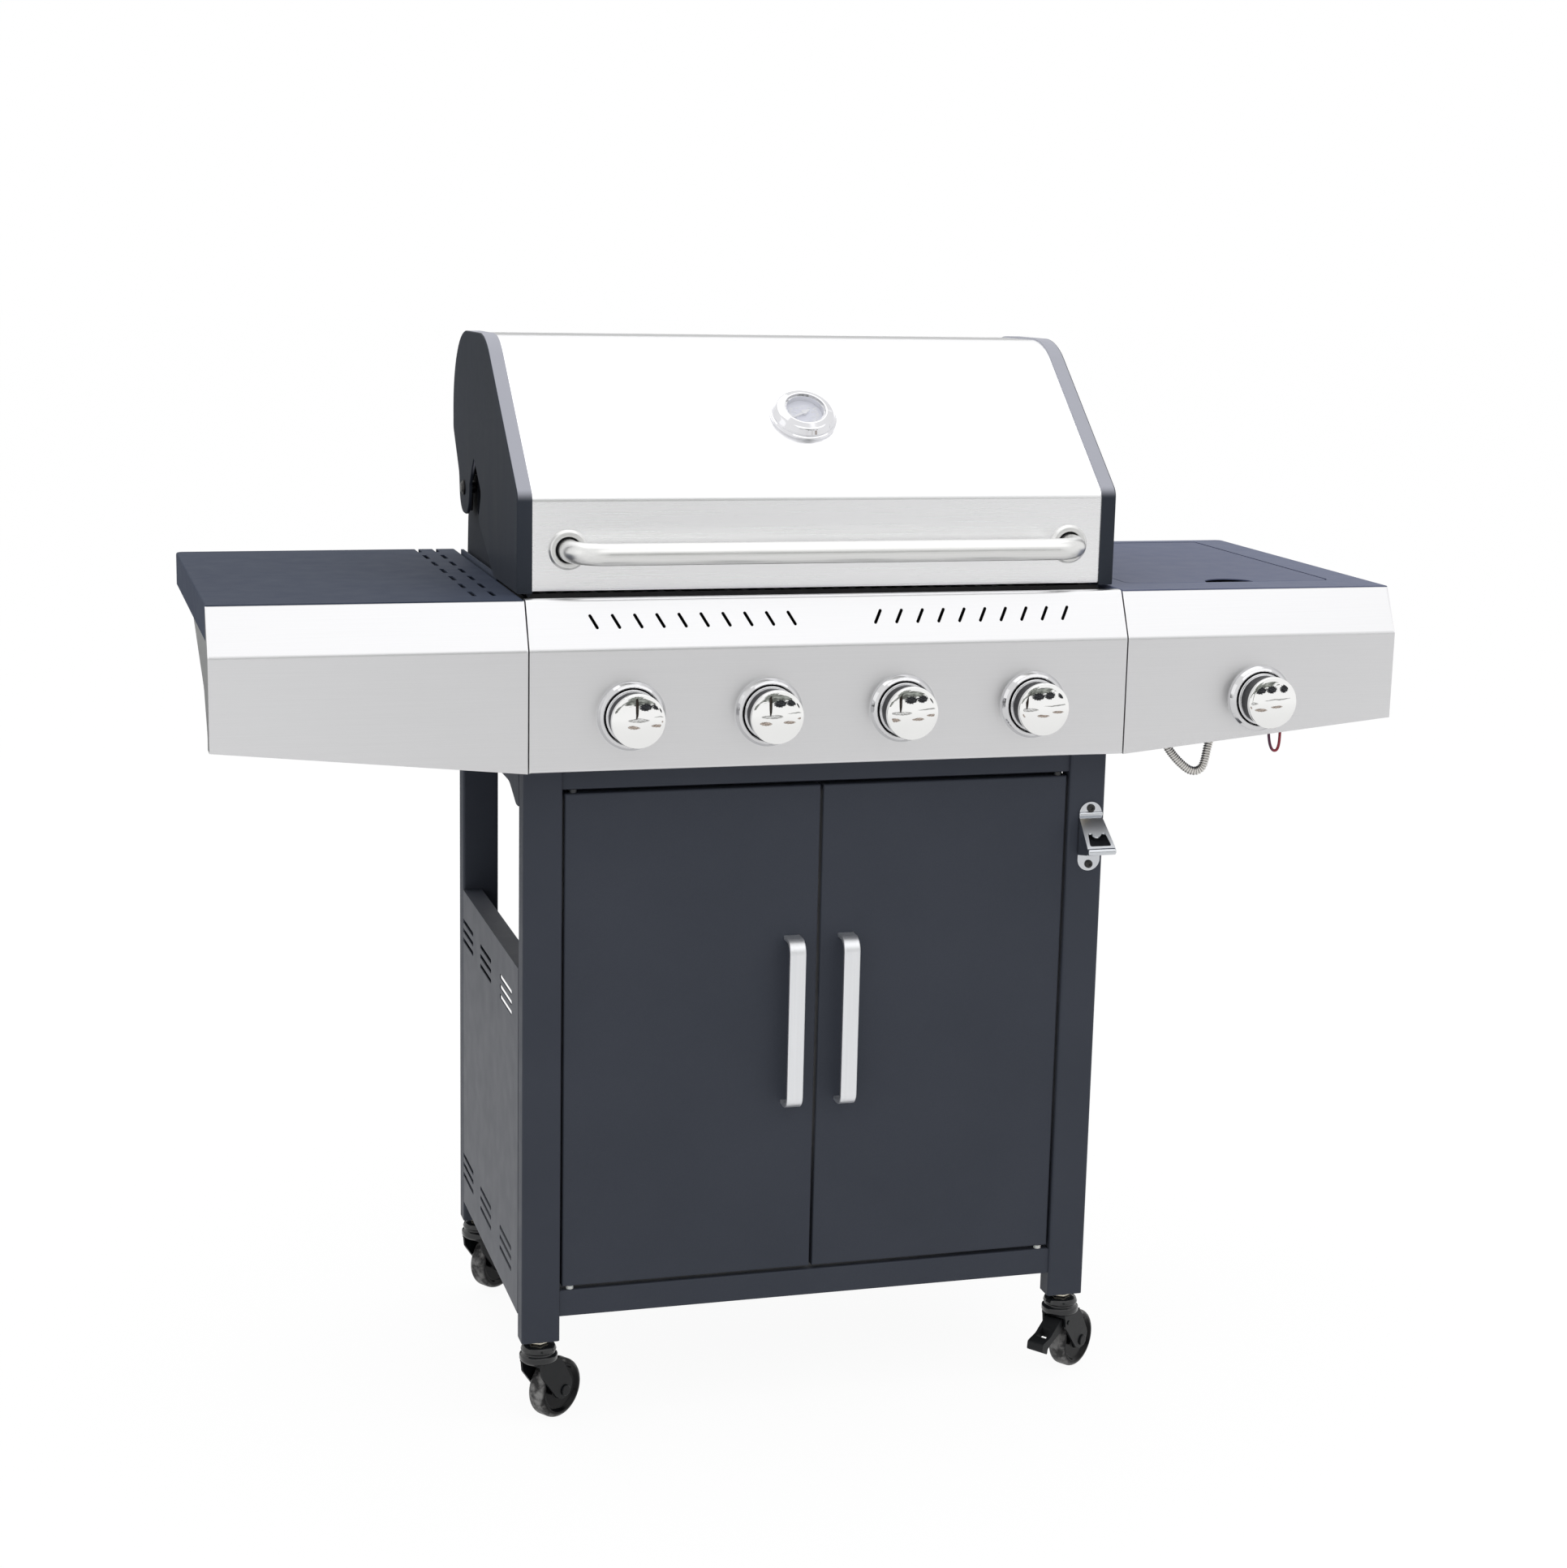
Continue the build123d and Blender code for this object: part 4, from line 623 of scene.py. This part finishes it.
opener_low, opener_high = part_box("bottle_opener")
strip_front = opener_high.y - STRIP_THICK
opener_steel = Finish("polished_pressing", Metallic=1.0)
opener_wipe = opener_steel.noise(90, 4, (1, 1, 0.2))
polished = opener_steel.mix(opener_wipe, (0.58, 0.60, 0.63), (0.68, 0.70, 0.73))
level = opener_steel.axis("Z")
# Painted shade: the strip's back wall behind the hood's window is coloured near-black, so that it looks like
# an opening onto the leg in shade.
on_strip = opener_steel.axis("Y") > strip_front - STRIP_SLACK
painted_window_shade = on_strip * (level > STRIP_CUT[0]) * (level < STRIP_CUT[1])
opener_steel.shade("Base Color", opener_steel.mix(painted_window_shade, polished, STRIP_PAINTED_SHADE))
opener_steel.shade("Roughness", 0.16 + opener_wipe * 0.08)
wear(opener_steel, "bottle_opener")

black_oxide = Finish("black_oxide", Metallic=0.6, Specular_IOR_Level=0.5)
black_oxide.mottle(500, 2, (0.022, 0.022, 0.023), (0.055, 0.054, 0.053))
black_oxide.smudge(900, 2, 0.22, 0.14)


def pan_head_screw(name, radius, height):
    """Domed screw head with a crossed recess, which stands on the origin."""
    shares = [ring / DOME_RINGS for ring in range(DOME_RINGS + 1)]
    domes = [height * math.sqrt(1 - (1 - share) ** 2) for share in shares]
    widths = [1 - DOME_TAPER * share ** DOME_POWER for share in shares]
    bpy.ops.object.select_all(action="DESELECT")
    bpy.ops.mesh.primitive_circle_add(vertices=SCREW_SIDES, radius=radius, enter_editmode=True)
    for ring in range(DOME_RINGS):
        bpy.ops.mesh.extrude_region_move(
            TRANSFORM_OT_translate={"value": (0, 0, domes[ring + 1] - domes[ring])})
        shrink = widths[ring + 1] / widths[ring]
        bpy.ops.transform.resize(value=(shrink, shrink, 1))
    bpy.ops.mesh.fill_grid(span=SCREW_SIDES // 4)
    bpy.ops.mesh.select_all(action="DESELECT")
    bpy.ops.object.mode_set(mode="OBJECT")
    head = bpy.context.object
    for face in head.data.polygons:
        x, y = abs(face.center.x) / radius, abs(face.center.y) / radius
        crossed = min(x, y) < SLOT_HALF and max(x, y) < SLOT_REACH
        face.select = crossed and face.center.z > height * DOME_TOP
    bpy.ops.object.mode_set(mode="EDIT")
    bpy.ops.mesh.extrude_region_move(TRANSFORM_OT_translate={"value": (0, 0, -height * SLOT_DEPTH)})
    bpy.ops.mesh.select_all(action="DESELECT")
    bpy.ops.mesh.select_non_manifold()
    bpy.ops.mesh.edge_face_add()
    bpy.ops.mesh.select_all(action="SELECT")
    bpy.ops.mesh.normals_make_consistent(inside=False)
    return shaped(name)


bpy.ops.object.select_all(action="DESELECT")
bpy.ops.mesh.primitive_cylinder_add(vertices=SCREW_SIDES, radius=1, depth=2, rotation=(0, math.pi / 2, 0))
bpy.ops.object.transform_apply(location=True, rotation=True, scale=True)
bpy.context.object.scale = FOLD_HALF
bpy.context.object.location = ((opener_low.x + opener_high.x) / 2, strip_front, FOLD_Z)
opener_fold = bevelled(shaped("opener_fold"), FOLD_ROUNDING, limit=math.radians(60))
opener_fold.data.materials.append(opener_steel.material)
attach(opener_fold, "cart")

opener_screw = pan_head_screw("opener_screw", SCREW_HEAD_RADIUS, SCREW_HEIGHT)
opener_screw.data.materials.append(black_oxide.material)
for place_name, z in SCREW_Z.items():
    seat = ((opener_low.x + opener_high.x) / 2, strip_front, z)
    screw = copied(opener_screw, f"opener_screw_{place_name}", seat, (0, -1, 0))
    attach(screw, "cart")
bpy.data.objects.remove(opener_screw)


# Firebox and what lies in it: a box in heat-proof black whose cheeks are painted as the hood's caps,
# enamelled cast-iron grates, steel flame tamers and burner tubes that have taken some heat tint, and
# a chromed warming rack.
CHEEK_INNER = 0.2990
CHEEK_FOOT = 0.8660
CHEEK_TONE = (0.029, 0.034, 0.045)
# Painted highlight: above the shelf, the cheeks' outermost band is a lighter shelf blue, a light line where
# the shelf's edge would catch the light.
PAINTED_RIDGE_INNER = 0.3068
RIDGE_PAINTED_HIGHLIGHT = (0.070, 0.085, 0.120)

heat_black = Finish("heat_proof_black", Specular_IOR_Level=0.2)
heat_grain = heat_black.noise(1100, 2)
off_middle = abs(heat_black.axis("X"))
above_shelf = heat_black.axis("Z") > CHEEK_FOOT
soot_black = heat_black.mix(heat_black.noise(9, 5), (0.012, 0.012, 0.013), (0.030, 0.030, 0.031))
cheeks = heat_black.mix(above_shelf * (off_middle > CHEEK_INNER), soot_black, CHEEK_TONE)
heat_black.shade("Base Color", heat_black.mix(above_shelf * (off_middle > PAINTED_RIDGE_INNER), cheeks, RIDGE_PAINTED_HIGHLIGHT))
heat_black.shade("Roughness", 0.58 + heat_grain * 0.14)
heat_black.bump(heat_grain, 0.0001, 0.5)
wear(heat_black, "firebox")

enamel = Finish("enamelled_iron", Specular_IOR_Level=0.4)
cast_skin = enamel.noise(420, 4)
enamel.mottle(25, 4, (0.010, 0.010, 0.011), (0.030, 0.029, 0.028))
enamel.shade("Roughness", 0.34 + cast_skin * 0.25)
enamel.bump(cast_skin, 0.0004, 0.6)
wear(enamel, "cooking_grates", "side_burner_grate")

heated_steel = Finish("heat_tinted_steel", Metallic=1.0)
tint = heated_steel.noise(11, 4)
heated_steel.shade("Base Color", heated_steel.mix(tint.between(0.35, 0.7), (0.46, 0.46, 0.47),
                                                  (0.42, 0.33, 0.22)))
heated_steel.smudge(200, 3, 0.34, 0.2)
wear(heated_steel, "flame_tamers", "burner_tubes")
wear(black_oxide, "lid_hinge_pins")

rack_chrome = Finish("rack_chrome", Metallic=1.0)
rack_chrome.mottle(80, 2, (0.60, 0.61, 0.63), (0.74, 0.75, 0.77))
rack_chrome.smudge(250, 2, 0.14, 0.14)
wear(rack_chrome, "warming_rack")

galvanised = Finish("galvanised_sheet", Metallic=0.95)
spangle = galvanised.node("ShaderNodeTexVoronoi", {"feature": "F1"},
                          {"Vector": galvanised.place(), "Scale": 90}, output="Color")
tone = galvanised.node("ShaderNodeRGBToBW", {}, {0: spangle})
galvanised.shade("Base Color", galvanised.mix(tone, (0.44, 0.45, 0.46), (0.60, 0.61, 0.62)))
galvanised.shade("Roughness", 0.34 + tone * 0.18)
wear(galvanised, "grease_tray")

cast_aluminium = Finish("cast_aluminium", Metallic=0.9)
sand = cast_aluminium.noise(600, 3)
cast_aluminium.shade("Base Color", cast_aluminium.mix(sand, (0.42, 0.42, 0.42), (0.60, 0.60, 0.60)))
cast_aluminium.shade("Roughness", 0.42 + sand * 0.2)
cast_aluminium.bump(sand, 0.00015, 0.5)
wear(cast_aluminium, "side_burner", "grease_cup")
wear(brass, "gas_manifold", *[name for name in cad if name.startswith("valve_plug")])


# Control panel and the two shelf fascias: folded stainless sheet, brushed from end to end and
# lightly polished, so that faces tilted to the sky come out nearly white.
def brushed_stainless(name, dull, bright, roughness, relief):
    """Sheet with a grain of fine scratches along X and faint broad smears."""
    sheet = Finish(name, Metallic=1.0)
    scratches = sheet.noise(2400, 2, (0.006, 1, 1))
    threads = sheet.noise(800, 2, (0.01, 1, 1))
    smears = sheet.noise(5, 3)
    grain = scratches * 0.5 + threads * 0.3 + smears * 0.2
    sheet.shade("Base Color", sheet.mix(grain, dull, bright))
    sheet.shade("Roughness", roughness - 0.04 + grain * 0.08)
    sheet.bump(scratches, relief, 0.25)
    return sheet


panel_steel = brushed_stainless("panel_stainless", (0.71, 0.71, 0.72), (0.79, 0.79, 0.80), 0.34, 0.00003)
wear(panel_steel, "control_panel", "left_fascia", "right_fascia")


# Knobs: a chromed bezel ring on the panel, and a knob with a bright rim, a dark grey grip and a
# slightly domed mirror cap, on a stem that slides in the valve.
KNOB_SIDES = 96
KNOB_BACK = 0.0055
KNOB_RIM = 0.027
KNOB_FRONT = 0.035
GRIP_BACK = KNOB_BACK + 0.0040
GRIP_FRONT = 0.028
GRIP_EDGE = 0.0001
STEM_END = -0.021
STEM_RADIUS = 0.004
CAP_CROWN = 0.0022
CAP_BASE = KNOB_FRONT - CAP_CROWN
CAP_RADIUS = 0.0258
CAP_RINGS = 7
KNOB_PROFILE = [(STEM_RADIUS, STEM_END), (STEM_RADIUS, KNOB_BACK), (0.0262, KNOB_BACK),
                (KNOB_RIM, KNOB_BACK + 0.0008), (KNOB_RIM, KNOB_BACK + 0.0026), (0.0263, KNOB_BACK + 0.0034),
                (0.0254, KNOB_BACK + 0.0036), (0.0250, KNOB_BACK + 0.0042), (0.0245, GRIP_FRONT - 0.0006),
                (0.0245, GRIP_FRONT), (0.0264, GRIP_FRONT), (KNOB_RIM, GRIP_FRONT + 0.0008),
                (KNOB_RIM, CAP_BASE - 0.0012), (0.0266, CAP_BASE - 0.0004), (CAP_RADIUS, CAP_BASE)]
GASKET_BORE = 0.0050
GASKET_RADIUS = 0.0283
GASKET_THICK = 0.0008

chrome = Finish("bright_chrome", Metallic=1.0)
chrome.mottle(30, 2, (0.60, 0.60, 0.61), (0.70, 0.70, 0.71))
chrome.smudge(120, 3, 0.05, 0.05)
rim_metal = Finish("spun_rim", Metallic=1.0)
rim_metal.mottle(200, 2, (0.62, 0.62, 0.64), (0.74, 0.74, 0.75))
rim_metal.smudge(400, 2, 0.22, 0.12)
grip_grey = Finish("grip_grey", Metallic=0.55)
grip_grey.mottle(220, 3, (0.040, 0.040, 0.044), (0.075, 0.075, 0.082))
grip_grey.smudge(900, 2, 0.30, 0.14)
mirror = Finish("mirror_cap", Metallic=1.0)
mirror.mottle(40, 2, (0.86, 0.86, 0.85), (0.91, 0.91, 0.90))
mirror.smudge(160, 3, 0.015, 0.02)
wear(chrome, "knob_bezels")
# Dark rubber for the knobs' gaskets, also worn by the handle's thin rings of painted shade.
gasket_rubber_and_shade_ring = Finish("gasket_rubber_and_shade_ring", Specular_IOR_Level=0.1)
gasket_rubber_and_shade_ring.mottle(300, 2, (0.006, 0.006, 0.007), (0.012, 0.012, 0.013))
gasket_rubber_and_shade_ring.smudge(500, 2, 0.7, 0.2)


def turned_piece(name, profile, sides):
    """Body of revolution about Z, drawn out ring by ring from a circle and closed at both ends."""
    bpy.ops.object.select_all(action="DESELECT")
    radius, height = profile[0]
    bpy.ops.mesh.primitive_circle_add(vertices=sides, radius=radius, fill_type="NGON",
                                      location=(0, 0, height), enter_editmode=True)
    for wide, far in profile[1:]:
        bpy.ops.mesh.extrude_region_move(TRANSFORM_OT_translate={"value": (0, 0, far - height)})
        bpy.ops.transform.resize(value=(wide / radius, wide / radius, 1))
        radius, height = wide, far
    bpy.ops.mesh.select_all(action="SELECT")
    bpy.ops.mesh.normals_make_consistent(inside=False)
    return shaped(name)


def flat_ring(name, bore, radius, thickness):
    """Flat ring about the origin."""
    bpy.ops.object.select_all(action="DESELECT")
    bpy.ops.mesh.primitive_circle_add(vertices=KNOB_SIDES, radius=bore, enter_editmode=True)
    bpy.ops.mesh.extrude_region_move(TRANSFORM_OT_translate={"value": (0, 0, 0)})
    bpy.ops.transform.resize(value=(radius / bore, radius / bore, 1))
    ring = shaped(name)
    sheet = ring.modifiers.new("sheet", "SOLIDIFY")
    sheet.thickness = thickness
    sheet.offset = 0
    bpy.ops.object.modifier_apply(modifier=sheet.name)
    bpy.ops.object.mode_set(mode="EDIT")
    bpy.ops.mesh.select_all(action="SELECT")
    bpy.ops.mesh.normals_make_consistent(inside=False)
    return shaped(name)


crown_radii = [CAP_RADIUS * (1 - ring / CAP_RINGS) for ring in range(1, CAP_RINGS)]
crown = [(radius, KNOB_FRONT - CAP_CROWN * (radius / CAP_RADIUS) ** 2) for radius in crown_radii]
knob_pattern = turned_piece("control_knob", KNOB_PROFILE + crown, KNOB_SIDES)
for finish in (rim_metal, grip_grey, mirror):
    knob_pattern.data.materials.append(finish.material)
for face in knob_pattern.data.polygons:
    grip = GRIP_BACK < face.center.z < GRIP_FRONT - GRIP_EDGE
    face.material_index = 1 if grip else 2 if face.center.z > GRIP_FRONT - GRIP_EDGE else 0

gasket_pattern = flat_ring("knob_gasket", GASKET_BORE, GASKET_RADIUS, GASKET_THICK)
gasket_pattern.data.materials.append(gasket_rubber_and_shade_ring.material)

panel_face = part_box("control_panel")[0].y
for name in ("1", "2", "3", "4", "side"):
    spot = Vector(joints[f"knob_{name}_turn"]["pos_m"])
    knob = copied(knob_pattern, f"control_knob_{name}", (spot.x, panel_face, spot.z), (0, -1, 0))
    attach(knob, f"knob_{name}")
    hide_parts(f"knob_{name}")
    seat = (spot.x, panel_face - GASKET_THICK, spot.z)
    gasket = copied(gasket_pattern, f"knob_gasket_{name}", seat, (0, -1, 0))
    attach(gasket, "cart")
bpy.data.objects.remove(knob_pattern)
bpy.data.objects.remove(gasket_pattern)


# Side shelves and the side burner's flush lid: sheet trays in a smooth blue-grey coat, lighter than the cart,
# the burner's lid paler; the burner's tray is a lighter copy of the shelf coat, a painted sheen of the sky.
shelf_coat = powder_coat("shelf_coat", (0.040, 0.051, 0.084), (0.058, 0.073, 0.110),
                         gloss=0.56, grain=1800, depth=0.00005, sheen=0.10)
wear(shelf_coat, "left_shelf")
# Painted sheen: the burner's tray is the shelf coat made lighter, for the sky glancing off it at a grazing
# angle.
burner_tray_painted_sheen_coat = powder_coat("burner_tray_painted_sheen_coat", (0.120, 0.138, 0.222), (0.152, 0.176, 0.274),
                               gloss=0.46, grain=1800, depth=0.00005, sheen=0.18)
wear(burner_tray_painted_sheen_coat, "right_shelf")
side_lid_coat = powder_coat("side_lid_coat", (0.094, 0.110, 0.194), (0.122, 0.144, 0.240),
                            gloss=0.42, grain=1800, depth=0.00004, sheen=0.18)
wear(side_lid_coat, "side_burner_lid")


# Hood: one stainless skin between two cast end caps, whose dark coat has a dry, wiped look and a lighter
# band along the top rim that is a painted sheen, and a satin tube handle that stands in two turned rings,
# each with a thin near-black ring round the tube that is painted shade in the gap.
CAP_EDGE = 0.0012
RIM_PAINTED_SHEEN_RISE = (0.960, 0.972)
RIM_PAINTED_SHEEN = (0.46, 0.47, 0.53)
RING_RADIUS = 0.020
SHADE_RING_BORE = 0.01105
SHADE_RING_RADIUS = 0.01275
SHADE_RING_THICK = 0.0046

hood_steel = brushed_stainless("hood_stainless", (0.94, 0.94, 0.95), (0.99, 0.99, 1.00), 0.28, 0.000012)
wear(hood_steel, "lid_skin")

cap_coat = Finish("cap_coat", Specular_IOR_Level=0.14)
wiped = cap_coat.noise(26, 5, (1, 1, 0.35))
cap_grain = cap_coat.noise(1400, 1)
cap_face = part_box("lid_right_cap")[1].x - CAP_EDGE
across = abs(cap_coat.axis("X"))
# Painted sheen: a lighter band along the caps' top rim, where the sky would glance off the coat.
painted_sheen_band = (across < cap_face) * cap_coat.axis("Z").between(*RIM_PAINTED_SHEEN_RISE)
body = cap_coat.mix(wiped * 0.7 + cap_grain * 0.3, (0.019, 0.024, 0.034), (0.045, 0.052, 0.067))
cap_coat.shade("Base Color", cap_coat.mix(painted_sheen_band, body, RIM_PAINTED_SHEEN))
cap_coat.shade("Roughness", 0.42 + wiped * 0.2)
cap_coat.bump(cap_grain, 0.00008, 0.45)
wear(cap_coat, "lid_right_cap", "lid_left_cap")

satin_tube = Finish("satin_tube", Metallic=1.0)
tube_grain = satin_tube.noise(700, 3, (0.02, 1, 1))
satin_tube.shade("Base Color", satin_tube.mix(tube_grain, (0.70, 0.70, 0.69), (0.84, 0.84, 0.83)))
satin_tube.shade("Roughness", 0.26 + tube_grain * 0.12)
wear(satin_tube, "lid_handle", "lid_handle_rings")

ring_low, ring_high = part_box("lid_handle_rings")
# Painted shade: a thin near-black ring fills the gap between the tube and each turned ring, where shade
# falls.
shade_ring_pattern = flat_ring("handle_shade_ring", SHADE_RING_BORE, SHADE_RING_RADIUS, SHADE_RING_THICK)
shade_ring_pattern.data.materials.append(gasket_rubber_and_shade_ring.material)
for side, foot in {"left": ring_low.x + RING_RADIUS, "right": ring_high.x - RING_RADIUS}.items():
    seat = (foot, ring_high.y - SHADE_RING_THICK / 2, (ring_low.z + ring_high.z) / 2)
    shade_ring = copied(shade_ring_pattern, f"handle_shade_ring_{side}", seat, (0, -1, 0))
    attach(shade_ring, "lid")
bpy.data.objects.remove(shade_ring_pattern)


# Thermometer: a domed chrome case over a pale printed dial with ticks and plain numbers, a light
# pointer and a thin glass.
DIAL_LEVEL = 0.006
TICK_COUNT = 25
TICK_GROUP = 4
TICK_SWEEP = 240
TICK_RADIUS = 0.0145
TICK_SIZES = {"long": (0.0016, 0.0044), "short": (0.0011, 0.0028)}
TICK_INK = 0.0003
TICK_ROUNDING = 0.00009
NUMBERS = (50, 100, 150, 200, 250, 300, 350)
NUMBER_RADIUS = 0.0102
NUMBER_SIZE = 0.0030

case_chrome = Finish("case_chrome", Metallic=1.0)
case_chrome.mottle(30, 2, (0.70, 0.70, 0.72), (0.79, 0.79, 0.81))
case_chrome.smudge(120, 3, 0.04, 0.04)
wear(case_chrome, "thermometer_case")
dial_print = Finish("dial_enamel", Roughness=0.35)
dial_print.mottle(160, 2, (0.79, 0.80, 0.90), (0.83, 0.84, 0.93))
wear(dial_print, "thermometer_dial")
pointer = Finish("pointer_enamel", Roughness=0.4)
pointer.mottle(400, 2, (0.88, 0.88, 0.89), (0.94, 0.94, 0.95))
wear(pointer, "thermometer_needle")
glass = Finish("gauge_glass", Roughness=0.03, Alpha=0.14, Base_Color=(0.90, 0.92, 0.96, 1))
wear(glass, "thermometer_glass")
ink = Finish("dial_ink", Roughness=0.5)
ink.mottle(900, 2, (0.98, 0.98, 0.98), (1.0, 1.0, 1.0))

needle_joint = joints["needle_turn"]
dial_normal = -Vector(needle_joint["axis"])
dial_right = Vector((1, 0, 0))
dial_up = dial_normal.cross(dial_right)
dial_frame = Matrix((dial_right, dial_up, dial_normal)).transposed().to_4x4()
dial_frame.translation = Vector(needle_joint["pos_m"]) + dial_normal * DIAL_LEVEL


def dial_turn(step, steps):
    """Angle of one of several even steps along the dial's sweep, from its top."""
    return math.radians(TICK_SWEEP * (0.5 - step / (steps - 1)))


def joined(name, pieces):
    """One mesh from several."""
    bpy.ops.object.select_all(action="DESELECT")
    for piece in pieces:
        piece.select_set(True)
    bpy.context.view_layer.objects.active = pieces[0]
    bpy.ops.object.join()
    return shaped(name)


ticks = {}
for length_name, (width, length) in TICK_SIZES.items():
    bpy.ops.object.select_all(action="DESELECT")
    bpy.ops.mesh.primitive_cube_add(size=1, location=(0, TICK_RADIUS, TICK_INK / 2))
    bpy.context.object.scale = (width, length, TICK_INK)
    ticks[length_name] = bevelled(shaped(f"{length_name}_tick"), TICK_ROUNDING, 1)
marks = []
for k in range(TICK_COUNT):
    pattern = ticks["short" if k % TICK_GROUP else "long"]
    tick = copied(pattern, f"tick_{k}", (0, 0, 0), (0, 0, 1))
    tick.data.transform(Matrix.Rotation(dial_turn(k, TICK_COUNT), 4, "Z"))
    marks.append(tick)
for pattern in ticks.values():
    bpy.data.objects.remove(pattern)
for k, number in enumerate(NUMBERS):
    turn = dial_turn(k, len(NUMBERS))
    bpy.ops.object.select_all(action="DESELECT")
    bpy.ops.object.text_add()
    word = bpy.context.object
    word.data.body = str(number)
    word.data.size = NUMBER_SIZE
    word.data.align_x = "CENTER"
    word.data.align_y = "CENTER"
    word.data.extrude = TICK_INK / 2
    bpy.ops.object.convert(target="MESH")
    word = bpy.context.object
    word.location = (-math.sin(turn) * NUMBER_RADIUS, math.cos(turn) * NUMBER_RADIUS, TICK_INK / 2)
    bpy.ops.object.transform_apply(location=True, rotation=True, scale=True)
    marks.append(word)
dial_marks = joined("dial_marks", marks)
dial_marks.data.transform(dial_frame)
dial_marks.data.materials.clear()
dial_marks.data.materials.append(ink.material)
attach(dial_marks, "lid")
